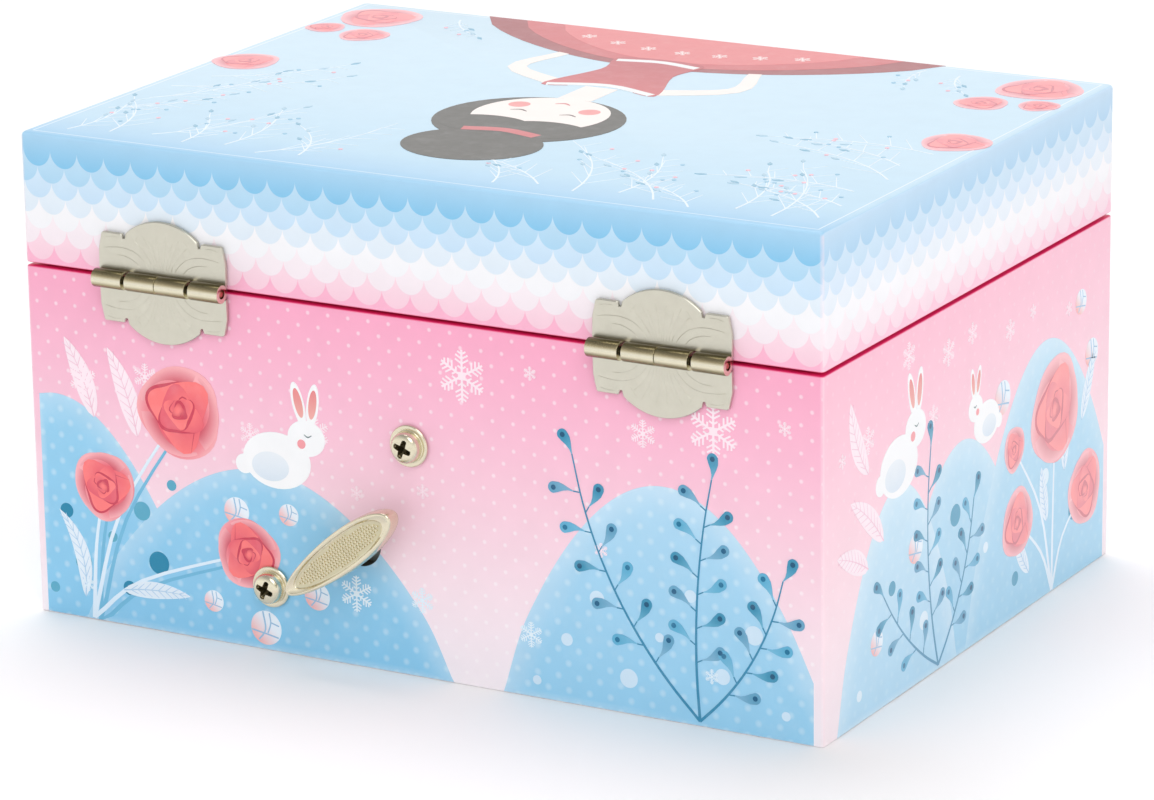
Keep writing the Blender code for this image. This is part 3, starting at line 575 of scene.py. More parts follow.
class Art:
    """The printed shapes of one face, each a thin closed plate above the paper."""

    def __init__(self, place, size, veil=0.0, hole=None):
        self.place, self.size, self.veil, self.hole = place, size, veil, hole
        self.bm = bmesh.new()
        self.tint = self.bm.verts.layers.float_color.new("tint")

    def plate(self, outlines, tint, level, grid=0.0, dots=0.0):
        """outlines is one outline or several that merge; tint is a colour or a function of (u, v)."""
        if not isinstance(outlines[0][0], (tuple, Vector)):
            outlines = [outlines]
        wide, tall = self.size
        outlines = [[(clamp(p[0], 0.3, wide - 0.3), clamp(p[1], 0.25, tall - 0.25)) for p in outline]
                    for outline in outlines]
        points, edges = [], []
        for outline in outlines:
            add_loop(points, edges, outline)
        if grid:
            lows = [min(p[i] for p in points) for i in (0, 1)]
            highs = [max(p[i] for p in points) for i in (0, 1)]
            for i in range(1, int((highs[0] - lows[0]) / grid) + 1):
                for k in range(1, int((highs[1] - lows[1]) / grid) + 1):
                    spot = (lows[0] + (i - 0.5 + 0.5 * (k % 2)) * grid, lows[1] + (k - 0.5) * grid)
                    if any(inside(spot, outline) for outline in outlines):
                        points.append(Vector(spot))
        pierced = self.pierce(points, edges)
        flat, _, faces, *_ = delaunay_2d_cdt(points, edges, [], 1, 1e-4)
        if len(outlines) > 1 or pierced:
            kept = []
            for face in faces:
                middle = sum((flat[k] for k in face), Vector((0, 0))) / len(face)
                clear = not pierced or math.dist(middle, self.hole[:2]) > self.hole[2] * 0.99
                if clear and any(inside(middle, outline) for outline in outlines):
                    kept.append(face)
            faces = kept
        top = PLATE_RISE + PLATE_STEP * level
        above, below = {}, {}
        for k in sorted({k for face in faces for k in face}):
            u, v = flat[k]
            colour = tint(u, v) if callable(tint) else tint
            # This wash towards white is painted light: the side and top faces are paler for the light and
            # sheen on them.
            colour = lerp(colour, (1.0, 0.95, 0.97), self.veil)
            for store, height in ((above, top), (below, PLATE_FOOT)):
                store[k] = self.bm.verts.new(self.place(u, v, height))
                store[k][self.tint] = (*colour, 1.0 - dots)
        borders = {}
        for face in faces:
            self.bm.faces.new([above[k] for k in face])
            self.bm.faces.new([below[k] for k in reversed(face)])
            for k in range(len(face)):
                a, b = face[k], face[(k + 1) % len(face)]
                if borders.pop((b, a), None) is None:
                    borders[(a, b)] = True
        for a, b in borders:
            self.bm.faces.new((above[b], above[a], below[a], below[b]))

    def pierce(self, points, edges):
        """Add the face's round hole to the outline when the shape reaches it."""
        if not self.hole:
            return False
        u, v, radius = self.hole
        reach = [(min(p[i] for p in points) - radius, max(p[i] for p in points) + radius) for i in (0, 1)]
        if not (reach[0][0] < u < reach[0][1] and reach[1][0] < v < reach[1][1]):
            return False
        add_loop(points, edges, circle(u, v, radius, 48))
        return True

    def disc(self, u, v, radius, tint, level, grid=0.0, count=28):
        self.plate(circle(u, v, radius, count), tint, level, grid)

    def strokes(self, lines, tint, level):
        """lines is a list of (path, width or widths); crossing strokes merge."""
        self.plate([band(path, width) for path, width in lines], tint, level)

    def done(self, name, body):
        return object_from(name, self.bm, ART, body, angle=0)


def across(ahead):
    """The direction a quarter turn to the left."""
    return Vector((-ahead.y, ahead.x))


def band(path, width, steps=4):
    """The outline of a stroke along a path; width is one figure or several along it."""
    line = smooth_path(path, steps if len(path) > 2 else 1)
    left, right = [], []
    for k, point in enumerate(line):
        side = across(heading(line, k))
        share = k / (len(line) - 1)
        if isinstance(width, (int, float)):
            half = width / 2
        else:
            spot = share * (len(width) - 1)
            low = min(int(spot), len(width) - 2)
            half = (width[low] + (width[low + 1] - width[low]) * (spot - low)) / 2
        left.append(point + side * half)
        right.append(point - side * half)
    return [(p.x, p.y) for p in left + right[::-1]]


def blob(u, v, radius, lobes=((3, 0.05, 0.4), (5, 0.02, 1.3)), turn=0.0, count=40, squash=1.0):
    """A round outline, lobed by sine waves, squashed and then turned."""
    c, s = math.cos(turn), math.sin(turn)
    points = []
    for k in range(count):
        a = math.tau * k / count
        r = radius * (1 + sum(size * math.sin(n * a + phase) for n, size, phase in lobes))
        x, y = r * math.cos(a), r * math.sin(a) * squash
        points.append((u + x * c - y * s, v + x * s + y * c))
    return points


ROSE_PALE, ROSE_MID = rgb(249, 178, 184), rgb(232, 96, 112)
ROSE_DEEP, ROSE_LIGHT = rgb(206, 62, 86), rgb(252, 124, 124)


def rose(art, u, v, radius, turn, level):
    """A rose seen from above: pale outer petals, a coral heart of folded triangles."""
    grid = max(radius * 0.13, 0.5)

    def shade(low, high, start, end, lean=0.0, towards=0.0):
        def tint(x, y):
            dx, dy = (x - u) / radius, (y - v) / radius
            share = (math.hypot(dx, dy) - start) / (end - start)
            share += lean * math.cos(math.atan2(dy, dx) - towards - turn)
            return lerp(low, high, clamp(share) ** 1.3)
        return tint

    art.plate(blob(u, v, radius, turn=turn), shade(ROSE_MID, ROSE_PALE, 0.55, 1.0, 0.35, 0.6), level, grid)
    for k in range(3):
        a0 = turn + k * 2.15 + 0.5
        span = [a0 + 1.9 * s / 14 for s in range(15)]
        outer = [polar(u, v, radius * 0.96, a) for a in span]
        inner = [polar(u, v, radius * (0.56 + 0.34 * s / 14), a) for s, a in enumerate(span)]
        art.plate(outer + inner[::-1], shade(ROSE_DEEP, ROSE_PALE, 0.55, 0.97), level + 1 + k, grid)
    heart = ((3, 0.19, 1.2), (6, 0.035, 0.9), (2, 0.05, 0.0))
    steps = ((0.72, 0.0, ROSE_MID, ROSE_LIGHT), (0.5, 0.95, ROSE_LIGHT, ROSE_MID),
             (0.33, 2.05, ROSE_MID, ROSE_LIGHT), (0.18, 3.0, ROSE_LIGHT, ROSE_DEEP))
    for k, (share, spin, low, high) in enumerate(steps):
        shape = blob(u, v, radius * share, heart, turn + spin, 30)
        art.plate(shape, shade(low, high, 0.0, share, 0.45, spin + 2), level + 4 + 2 * k,
                  max(radius * share * 0.3, 0.35))
        first = 4 + 3 * k
        arc = [shape[(first + s) % 30] for s in range(13)]
        art.strokes([(arc, [0.02, radius * 0.075, radius * 0.06, 0.02])], ROSE_DEEP, level + 5 + 2 * k)
        fold = [shape[(first + 17) % 30], lerp(shape[(first + 22) % 30], (u, v), 0.35),
                lerp(shape[first % 30], (u, v), 0.7)]
        art.strokes([(fold, [0.02, radius * 0.035, 0.02])], ROSE_DEEP, level + 5.5 + 2 * k)


def leaf(art, base, tip, width, bend, level, body, vein, blush=None):
    """A long veined leaf from base to tip, bowed sideways by bend."""
    b, t = Vector(base), Vector(tip)
    ahead = t - b
    side = across(ahead).normalized()

    def spot(share, offset):
        bow = 4 * share * (1 - share) * bend
        return b + ahead * share + side * (bow + offset)

    def half(share):
        return width / 2 * (math.sin(math.pi * share ** 0.8) ** 0.75 if 0 < share < 1 else 0.0)

    shares = [k / 14 for k in range(15)]
    outline = [spot(s, half(s)) for s in shares] + [spot(s, -half(s)) for s in shares[-2:0:-1]]
    blush = blush or body

    def tint(x, y):
        share = (Vector((x, y)) - b).dot(ahead) / ahead.length_squared
        return lerp(blush, body, clamp(share * 3.0))
    art.plate(outline, tint, level, width * 0.4)
    lines = [([spot(s, 0.0) for s in (0.0, 0.25, 0.5, 0.75, 0.96)], [0.3, 0.2, 0.08])]
    for k in range(1, 9):
        share = k / 9.6
        for way in (-1, 1):
            start = spot(share, 0.0)
            end = spot(min(share + 0.11, 0.98), way * half(share) * 0.86)
            lines.append(([start, end], [0.2, 0.12]))
    art.strokes(lines, vein, level + 1)


def snowflake(art, u, v, radius, tint, level, turn=0.0):
    """Six arms with paired branches, or one pair when the flake is tiny."""
    lines = []
    thick = max(radius * 0.085, 0.16)
    branches = ((0.28, 0.2), (0.48, 0.32), (0.66, 0.3), (0.84, 0.2)) if radius > 1.45 else ((0.55, 0.35),)
    for k in range(6):
        a = turn + k * math.pi / 3
        lines.append(([(u, v), polar(u, v, radius, a)], thick))
        for share, size in branches:
            start = polar(u, v, radius * share, a)
            for way in (-1, 1):
                lines.append(([start, polar(*start, radius * size, a + way * math.pi / 3)], thick * 0.85))
    lines.append(([(u - radius * 0.16, v), (u + radius * 0.16, v)], radius * 0.3))
    art.strokes(lines, tint, level)


def drop(art, seed, tail, size, level, deep, pale, pip):
    """A seed leaf: a teardrop round its dark seed, running out to its tail."""
    s, t = Vector(seed), Vector(tail)
    ahead = t - s
    side = across(ahead).normalized()
    length = ahead.length
    bend = side * length * 0.12
    outline = []
    for k in range(11):
        a = math.pi / 2 + math.pi * k / 10
        outline.append(s + ahead.normalized() * size * math.cos(a) + side * size * math.sin(a))
    half = [(0.25, 0.86), (0.5, 0.52), (0.75, 0.22), (1.0, 0.07)]
    low = [s + ahead * f - side * size * w + bend * math.sin(math.pi * f) * 0.6 for f, w in half]
    high = [s + ahead * f + side * size * w + bend * math.sin(math.pi * f) * 0.6 for f, w in half]

    def tint(x, y):
        return lerp(deep, pale, clamp((Vector((x, y)) - s).length / length))
    art.plate(outline + low + high[::-1], tint, level, size * 0.8)
    art.disc(s.x, s.y, size * 0.46, pip, level + 1, count=12)


def ornament(art, u, v, radius, level, blush, body, line):
    """A glass ball with crossing lines."""
    def tint(x, y):
        dx, dy = (x - u) / radius, (y - v) / radius
        return lerp(blush, body, clamp(0.75 + 0.55 * dx + 0.5 * dy))
    art.disc(u, v, radius, tint, level, radius * 0.3)
    marks = (((-0.5, -0.75), (-0.05, -0.1), (-0.2, 0.95)), ((-0.95, -0.2), (0.0, -0.35), (0.8, -0.5)),
             ((0.1, -0.3), (0.3, 0.3), (0.22, 0.9)), ((0.3, 0.35), (0.85, 0.2)))
    lines = [([(u + x * radius, v + y * radius) for x, y in mark], width * radius)
             for mark, width in zip(marks, (0.1, 0.09, 0.09, 0.08))]
    art.strokes(lines, line, level + 1)


def curve(points, steps=6):
    return [tuple(p) for p in smooth_path(points, steps, closed=True)]


VEIN_BLUE, VEIN_PINK = rgb(176, 208, 234), rgb(240, 196, 214)
LEAF_PINK, LEAF_BLUE = rgb(251, 232, 240), rgb(226, 238, 248)
TEAL, TEAL_PALE, SEED = rgb(24, 132, 168), rgb(110, 180, 210), rgb(0, 82, 118)
CORAL_EAR, PEACH = rgb(226, 98, 112), rgb(243, 188, 178)
FLAKE_PINK, FLAKE_BLUE = rgb(253, 232, 240), rgb(228, 242, 251)
STEM = rgb(222, 238, 250)


def hill(art, points, level, low, high, steps=8):
    """A painted mound: its edge line is given left to right, and it stands on the base."""
    top = max(p[1] for p in points)
    line = [(u, max(v, 0.25)) for u, v in smooth_path(points, steps)]
    outline = line + [(line[-1][0], 0.25), (line[0][0], 0.25)]

    def tint(x, y):
        edge = min(math.hypot(x - u, y - v) for u, v in line)
        base = lerp(low, high, clamp(y / top) ** 1.5)
        return lerp(lerp(base, (1, 1, 1), 0.2), base, clamp(edge / 6.0))
    art.plate(outline, tint, level, 3.0, dots=1.0)


def mound(art, middle, half, height, level, low, high, count=9):
    """One smooth swell, cut off where the face ends."""
    line = []
    for k in range(2 * count + 1):
        t = k / count - 1
        u = middle + half * t
        if 0.3 <= u <= art.size[0] - 0.3:
            line.append((u, height * max(0.0, math.cos(math.pi / 2 * t)) ** 0.75))
    hill(art, line, level, low, high)


def rabbit(art, u, v, size, way, level):
    """A plain rabbit of round shapes, sitting at (u, v) and facing the way its sign says."""
    def oval(du, dv, radius, squash=1.0, turn=0.0):
        return blob(u + way * du * size, v + dv * size, radius * size, (), way * math.radians(turn), 32,
                    squash)

    def ears(dv, radius):
        return [oval(du, dv, radius, 0.3, 90 + lean) for du, lean in ((0.42, 14), (0.68, -8))]
    fur = rgb(247, 248, 249)
    art.plate([oval(0.0, 0.45, 0.62, 0.74), oval(0.55, 0.88, 0.34, 0.86), oval(-0.6, 0.32, 0.16)]
              + ears(1.42, 0.36), fur, level, 1.6)
    for inner in ears(1.44, 0.24):
        art.plate(inner, lambda x, y: lerp(PEACH, CORAL_EAR, clamp((y - v) / size - 1.0)), level + 1, 0.6)
    art.plate(oval(-0.12, 0.34, 0.34, 0.7),
              lambda x, y: lerp(rgb(214, 228, 240), fur, clamp((y - v) / size)), level + 1, 1.2)
    eye = [(u + way * (0.58 + 0.07 * k) * size, v + (0.94 - 0.035 * (1 - k * k)) * size) for k in (-1, 0, 1)]
    art.strokes([(eye, [0.16, 0.32, 0.16])], rgb(110, 130, 132), level + 2)
    art.disc(u + way * 0.46 * size, v + 0.78 * size, 0.075 * size, rgb(243, 158, 164), level + 2)


def sprig(art, base, tip, bow, level, inks, line, pairs=4):
    """A bowed stem with seed leaves turned to either side."""
    b, t = Vector(base), Vector(tip)
    ahead = t - b
    length = ahead.length
    ahead.normalize()
    side = across(ahead)

    def spot(share):
        return b + ahead * length * share + side * 4 * bow * share * (1 - share)
    stems = [([spot(k / 6) for k in range(7)], [0.6, 0.42, 0.26])]
    leaves = [(spot(1.0) + ahead * 4.4, spot(1.0))]
    for k in range(2 * pairs):
        start, way = spot(0.24 + 0.7 * k / (2 * pairs)), 1 if k % 2 else -1
        out = (side * way * 0.9 + ahead * 0.55).normalized()
        stems.append(([start, start + out * 1.6], 0.24))
        leaves.append((start + out * 6.2, start + out * 1.6))
    art.strokes(stems, line, level)
    for k, (seed, tail) in enumerate(leaves):
        drop(art, seed, tail, 1.25, level + 1, *inks[k % len(inks)])


def bush(art, base, blooms, shadow=None):
    """Roses on bowed stems that leave one foot."""
    stems = []
    for k, (u, v, *_) in enumerate(blooms):
        bend = 0.18 * (u - base[0])
        middle = ((base[0] + u) / 2 - bend, (base[1] + v) / 2 + 1.5 * (k % 2))
        stems.append(([base, middle, (u, v)], [1.05, 0.8, 0.55]))
    if shadow:
        art.strokes([([(u + 1.6, v - 1.2) for u, v in path], width) for path, width in stems], shadow, 4)
    art.strokes(stems, STEM, 5)
    for bloom in blooms:
        rose(art, *bloom, 8)


def snow(art, count, low, high, tint, sizes, seed=0.0):
    """Flakes scattered by the golden ratio, between two heights."""
    for k in range(count):
        u = 6 + (art.size[0] - 12) * ((seed + k * GOLDEN) % 1.0)
        v = low + (high - low) * ((seed + k * 0.414 + 0.3) % 1.0)
        snowflake(art, u, v, sizes[k % len(sizes)], tint, 7 + 0.03 * k, math.pi / 6)


ORNAMENT_INK = (rgb(244, 176, 172), rgb(232, 242, 250), rgb(150, 190, 222))
PINK_LEAF = dict(body=LEAF_PINK, vein=VEIN_PINK)
BLUE_LEAF = dict(body=LEAF_BLUE, vein=VEIN_BLUE)
SPRIG_INKS = ((TEAL, TEAL_PALE, SEED), (rgb(84, 154, 188), rgb(134, 184, 212), rgb(16, 92, 130)),
              (rgb(80, 168, 204), rgb(124, 190, 220), rgb(10, 112, 150)))
SPRIG_LINE = rgb(54, 138, 174)
MOUND_LOW, MOUND_HIGH = rgb(136, 200, 234), rgb(150, 206, 236)
SNOW_SIZES = (5.6, 1.6, 3.0, 1.6, 3.6, 1.5, 2.6)


def long_face(art):
    """Mounds, roses, a rabbit and sprigs: both long faces carry the same plain picture."""
    mound(art, 6, 36, 50, 1, MOUND_LOW, MOUND_HIGH)
    mound(art, 58, 46, 40, 2, MOUND_LOW, MOUND_HIGH)
    mound(art, 154, 38, 50, 1, rgb(150, 206, 236), rgb(176, 217, 241))
    for k in range(9):
        tint = TEAL if k % 2 else rgb(88, 168, 196)
        level = 3 + 0.05 * k
        art.disc(4 + 3.9 * k, 6 + 29 * (k * GOLDEN % 1.0), 1.2 + 0.45 * (k % 4), tint, level)
        art.disc(124 + 7.2 * k, 4 + 26 * (k * 0.382 % 1.0), 1.0 + 0.35 * (k % 4), rgb(206, 229, 245), level)
    for base, tip, bend in (((16, 46), (9, 63), -0.8), ((27, 43), (20, 62), -0.9)):
        leaf(art, base, tip, 5.0, bend, 6, **PINK_LEAF)
    for base, tip, bend in (((12, 5), (6, 24), -2.4), ((22, 8), (39, 9), 0.6)):
        leaf(art, base, tip, 3.8, bend, 6, **BLUE_LEAF)
    for k, v in enumerate((9, 30, 5, 31, 14)):
        ornament(art, 45 + 6.5 * k, v, 2.4 + 0.7 * (k % 3), 5, *ORNAMENT_INK)
    bush(art, (14, 0.5), ((38, 50, 10.2, 0.6), (18, 31, 7.6, 2.2), (54, 21, 7.7, 3.9)), rgb(112, 184, 218))
    snow(art, 13, 34, 72, FLAKE_PINK, SNOW_SIZES, 0.57)
    snow(art, 6, 6, 20, FLAKE_BLUE, (4.0, 1.6, 2.8), 0.42)
    rabbit(art, 62, 36.6, 13.5, 1, 9)
    for k, (tip, bow, pairs) in enumerate((((133, 54), 5.0, 5), ((165, 53), 2.0, 5), ((181, 34), -3.0, 4))):
        sprig(art, (162, 1.2), tip, bow, 9 + 0.3 * k, SPRIG_INKS, SPRIG_LINE, pairs)


def back_art():
    art = Art(lambda u, v, h: (HALF_W - u, HALF_D + h, v), (190, CASE_H),
              hole=(HALF_W - KEY_X, KEY_Z, KEY_HOLE))
    long_face(art)
    return art.done("case_art_back", "case")


def front_art():
    """The unseen front is taken to carry the back's picture."""
    art = Art(lambda u, v, h: (u - HALF_W, -HALF_D - h, v), (190, CASE_H))
    long_face(art)
    return art.done("case_art_front", "case")


def side_art(name, place):
    # The small pale wash over this face is painted light, for the paler light on the sides.
    art = Art(place, (140, CASE_H), veil=0.06)
    mound(art, 34, 28, 46, 2, rgb(176, 217, 240), rgb(198, 228, 244))
    mound(art, 64, 34, 47, 1, rgb(160, 210, 236), rgb(188, 223, 242))
    mound(art, 106, 40, 58, 1.5, rgb(160, 210, 236), rgb(188, 223, 242))
    for k in range(8):
        tint = rgb(70, 156, 188) if k % 2 else rgb(222, 238, 248)
        art.disc(16 + 15 * k, 6 + 30 * (k * GOLDEN % 1.0), 1.2 + 0.4 * (k % 4), tint, 3 + 0.05 * k)
    for base, tip, bend in (((20, 52), (12, 69), 1.4), ((27, 36), (12, 48), -1.0), ((20, 32), (6, 38), -0.6)):
        leaf(art, base, tip, 5.2, bend, 6, **PINK_LEAF)
    for k in range(4):
        leaf(art, (98 + 9 * k, 8 + 9 * k), (90 + 14 * k, 20 + 10 * k), 4.0, 0.5 - 0.3 * (k % 2), 6,
             **BLUE_LEAF)
    for k, (u, v) in enumerate(((24, 15), (42, 30), (84, 51), (124, 62), (130, 49))):
        ornament(art, u, v, 2.8 + 0.5 * (k % 3), 5, *ORNAMENT_INK)
    # The roses take a stronger pale wash than the rest of the face.
    art.veil = 0.2
    bush(art, (110, 0.5), ((111, 41, 12.0, 0.9), (90, 38, 5.0, 2.0), (92, 21, 7.6, 1.2), (127, 19, 8.4, 2.8)))
    art.veil = 0.06
    snow(art, 9, 56, 73, FLAKE_PINK, (3.0, 1.6, 2.4), 0.4)
    rabbit(art, 34, 43.5, 14.0, 1, 9)
    rabbit(art, 76, 43.5, 10.0, -1, 9)
    for k, (tip, bow, pairs) in enumerate((((49, 50), 3.0, 5), ((27, 24), 2.0, 3), ((70, 33), -3.0, 4))):
        sprig(art, (53, 1.2), tip, bow, 8 + 0.3 * k, SPRIG_INKS, rgb(84, 150, 184), pairs)
    return art.done(name, "case")


def top_art():
    """A plain ballerina from the waist up behind her skirt, roses in the corners, frost along the edges."""
    # The small pale wash over the top is painted light, for the sheen on it.
    art = Art(lambda u, v, h: (HALF_W - u, HALF_D - v, BOX_H + h), (190, 140), veil=0.06)
    middle, hair, skin = 92, rgb(66, 64, 54), rgb(248, 238, 232)
    coral, coral_dark, trim = rgb(206, 96, 100), rgb(160, 72, 76), rgb(240, 240, 240)

    def oval(du, v, radius, squash=1.0):
        return blob(middle + du, v, radius, (), 0.0, 48, squash)

    def bow(half, v, sag):
        """Three points across the middle line, the middle one lower by sag."""
        return [(middle - half, v), (middle, v + sag), (middle + half, v)]

    hem = 139.4
    layers = ((58, 30, coral_dark), (48, 27, coral), (38, 23, rgb(226, 120, 122)))
    for k, (half, rise, tint) in enumerate(layers):
        skirt = [(middle + half * s / 12, hem - rise * math.cos(math.pi / 2 * s / 12) ** 0.7)
                 for s in range(-11, 12)]
        art.plate(skirt + [(middle + half, hem), (middle - half, hem)], tint, 2 + 1.5 * k, 3.0)
    for k in range(-3, 4):
        snowflake(art, middle + 9 * k, 131 - 6 * math.cos(math.radians(30 * k)), 1.9, rgb(250, 238, 236), 8)
    arms = [([(middle + way * du, v) for du, v in ((11, 88), (27, 98), (24, 114))], [5.0, 4.2, 3.0])
            for way in (-1, 1)]
    art.strokes(arms + [([(middle, 70), (middle, 88)], 8.0)], skin, 6.4)
    art.plate(curve(bow(14, 86, 4) + [(middle + 9, 104), (middle + 10, 116), (middle - 10, 116),
                                      (middle - 9, 104)], 6),
              lambda x, y: lerp(coral, rgb(190, 84, 90), clamp((y - 84) / 32)), 7, 3.0)
    art.strokes([(bow(13, 86.5, 4), 2.2), (bow(10, 113, 2), 2.2)], trim, 8)
    art.plate([oval(0, 56, 21, 0.95), oval(0, 32, 15.5, 0.86)], hair, 6.8)
    art.plate(oval(0, 61, 15, 1.0), skin, 7.4, 3.0)
    art.plate([oval(-7, 49, 10.5, 0.66), oval(7, 49, 10.5, 0.66)], hair, 8)
    art.strokes([(bow(9, 43.4, 2.2), 3.0)], coral, 9)
    for way in (-1, 1):
        art.disc(middle + way * 8.6, 67, 2.4, rgb(238, 150, 148), 8.4)
        lashes = [(u + way * 6, v) for u, v in bow(2, 62, 1)]
        art.strokes([(lashes, [0.3, 0.7, 0.3])], rgb(96, 66, 62), 9.2)
    art.strokes([(bow(1.8, 70.6, 1.0), [0.3, 0.8, 0.3])], rgb(206, 96, 100), 9.2)
    # The corner roses take a stronger pale wash than the rest of the top.
    art.veil = 0.2
    for u, v, r, turn in ((12, 127, 9.4, 0.3), (6, 113, 4.5, 1.0), (18, 110, 5.8, 2.0), (8, 76, 7.4, 0.8)):
        rose(art, u, v, r, turn, 8)
        rose(art, art.size[0] - u, v + 1, r, turn + 1.1, 8)
    art.veil = 0.06
    frost(art)
    return art.done("lid_art_top", "lid")


def frost_feet():
    """Foot, aim and length of each frost sprig: the back edge, then both sides, then the front corners."""
    feet = []
    for k in range(7):
        feet.append((8 + k * 9.4, 6 + k * 7 % 5, 1.25 + 0.5 * math.sin(k * 2.3), 23 + k * 5 % 15))
    for k in range(9):
        feet.append((112 + k * 9.0, 6 + k * 3 % 5, 1.8 + 0.45 * math.sin(k * 1.7), 23 + k * 7 % 17))
    for k in range(4):
        feet.append((5 + k * 3 % 5, 26 + k * 11.5, 0.5 + 0.3 * math.sin(k * 2.0), 24 + k * 5 % 11))
    for k in range(5):
        feet.append((184 - k * 3 % 5, 20 + k * 11.5, 2.5 + 0.3 * math.sin(k * 2.0), 24 + k * 5 % 11))
    feet.append((30, 133, -1.2, 16))
    for k in range(2):
        feet.append((148 + k * 9, 134 - k * 2 % 5, -1.8 + 0.4 * math.sin(k), 15))
    return feet


def frost(art):
    """Fine white sprigs with small teal leaves and pink berries, kept off the ballerina."""
    twig = 0
    leaves, berries = [], []
    for count, (u, v, aim, length) in enumerate(frost_feet()):
        path = [polar(u, v, length * k / 6, aim + 0.35 * k / 6) for k in range(7)]
        lines = [(path, [0.46, 0.34, 0.2])]
        for k in range(1, 7):
            for way in (-1, 1):
                twig += 1
                a = aim + way * (0.62 + 0.12 * math.sin(twig))
                end = polar(*path[k], length * (0.30 - 0.026 * k), a)
                lines.append(([path[k], end], [0.26, 0.16]))
                if 56 < end[0] < 114 and end[1] > 20:
                    continue
                if twig % 4 == 0:
                    leaves.append((end, a))
                elif twig % 3 == 0:
                    berries.append(end)
        art.strokes(lines, rgb(229, 240, 248), 2 + count * 0.08)
    for k, (foot, a) in enumerate(leaves):
        art.strokes([([foot, polar(*foot, 1.3, a), polar(*foot, 2.6, a)], [0.1, 1.1, 0.1])],
                    rgb(132, 184, 208) if k % 2 else rgb(172, 206, 224), 7 + 0.02 * k)
    for k, (u, v) in enumerate(berries):
        art.disc(u, v, 0.5, rgb(244, 190, 202) if k % 2 else rgb(150, 198, 222), 9 + 0.02 * k, count=10)


# ---------------------------------------------------------------- case and lid

def rounded(half_w, half_d, radius, z, per_corner=5):
    points = []
    for cx, cy, start in ((1, 1, 0), (-1, 1, 90), (-1, -1, 180), (1, -1, 270)):
        for k in range(per_corner):
            a = math.radians(start + 90 * k / (per_corner - 1))
            points.append((cx * (half_w - radius) + radius * math.cos(a),
                           cy * (half_d - radius) + radius * math.sin(a), z))
    return points


def shell_rings(profile):
    """profile is (inset from the outer face, height, corner radius)."""
    return [rounded(HALF_W - inset, HALF_D - inset, radius, z) for inset, z, radius in profile]


def line_inside(obj):
    """Second material on the faces that look into the box."""
    for face in obj.data.polygons:
        c = face.center / MM
        if abs(c.x) < HALF_W - WALL + 0.01 and abs(c.y) < HALF_D - WALL + 0.01 and c.z < LID_UNDER:
            face.material_index = 1


def build_shells():
    """The case as an open box of board, and the lid as a shallow one that closes it."""
    bm = bmesh.new()
    section = [(WALL, 77.4, 0.5), (WALL - 0.3, 77.7, 0.6), (0.35, 77.7, 0.6), (0.1, 77.6, 0.75),
               (0.0, 77.35, 0.8), (0.0, 0.4, 0.8), (0.12, 0.12, 0.75), (0.4, 0.0, 0.6), (WALL, 0.0, 0.5)]
    add_rings(bm, shell_rings(section), closed=True)
    case = object_from("case_shell", bm, [CASE_PRINT, INNER_PAPER], "case")
    hole = bmesh.new()
    add_turned(hole, [(KEY_HOLE, 60.0), (KEY_HOLE, 69.6), (KEY_HOLE + 0.4, 80.0)], "Y", KEY_X, KEY_Z, 64)
    cut(case, hole)
    line_inside(case)
    # The key hole's wall takes the painted shade material, for the shade inside the hole.
    case.data.materials.append(PAINTED_SHADE.mat)
    for face in case.data.polygons:
        c = face.center / MM
        if math.hypot(c.x - KEY_X, c.z - KEY_Z) < KEY_HOLE + 0.2 and 66.1 < c.y < 69.9:
            face.material_index = 2
    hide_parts("case_front", "case_back", "case_left", "case_right")

    bm = bmesh.new()
    section = [(WALL, 103.0, 0.5), (WALL, 78.7, 0.5), (WALL - 0.3, 78.4, 0.6), (0.35, 78.4, 0.6),
               (0.1, 78.5, 0.75), (0.0, 78.75, 0.8), (0.0, 106.1, 0.8), (0.12, 106.55, 0.85),
               (0.4, 106.86, 0.9), (0.9, 107.0, 1.0)]
    add_rings(bm, shell_rings(section))
    lid = object_from("lid_shell", bm, [LID_PRINT, INNER_PAPER], "lid")
    line_inside(lid)
    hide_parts("lid_top", "lid_front", "lid_back", "lid_left", "lid_right")


# --------------------------------------------------------------------- fittings

def leaf_outline():
    """A hinge leaf's outline above the barrel, going round from the right foot."""
    start = math.acos(8.9 / LEAF_ARC)
    arc = [polar(0.0, 0.0, LEAF_ARC, start + (math.pi - 2 * start) * k / 40) for k in range(41)]
    side = [(9.15, 8.75), (9.7, 8.7), (9.95, 9.55), (10.15, 9.7), (14.6, 9.7), (15.0, 9.45), (15.75, 6.2),
            (LEAF_HALF, 5.8), (LEAF_HALF, 1.55)]
    return side[::-1] + arc + [(-x, z) for x, z in side]


def engraving():
    """Polylines pressed into a leaf: a fan that opens from the barrel, and a long curl to each side."""
    lines = []
    fan = ((0, 2.4, 7.4), (0.9, 2.5, 10.6), (2.1, 2.5, 9.2), (3.3, 2.5, 10.2), (4.6, 2.6, 8.6))
    for lean, start, reach in fan:
        for way in ((-1, 1) if lean else (1,)):
            path = [Vector((way * lean * (0.5 + 0.95 * s ** 1.5), start + (reach - start) * s))
                    for s in (0.0, 0.2, 0.4, 0.6, 0.8, 1.0)]
            lines.append((path, 0.05))
    for way in (-1, 1):
        for points in (((3.1, 2.5), (4.3, 4.2), (6.4, 5.9), (9.4, 6.7), (12.4, 6.6), (14.8, 6.2)),
                       ((5.2, 2.5), (6.6, 3.9), (9.0, 4.9), (11.6, 5.1)),
                       ((5.6, 9.9), (6.6, 8.6), (7.2, 7.6)), ((10.6, 8.9), (12.6, 8.9), (14.3, 8.5))):
            lines.append(([Vector((way * x, z)) for x, z in points], 0.045))
    return lines


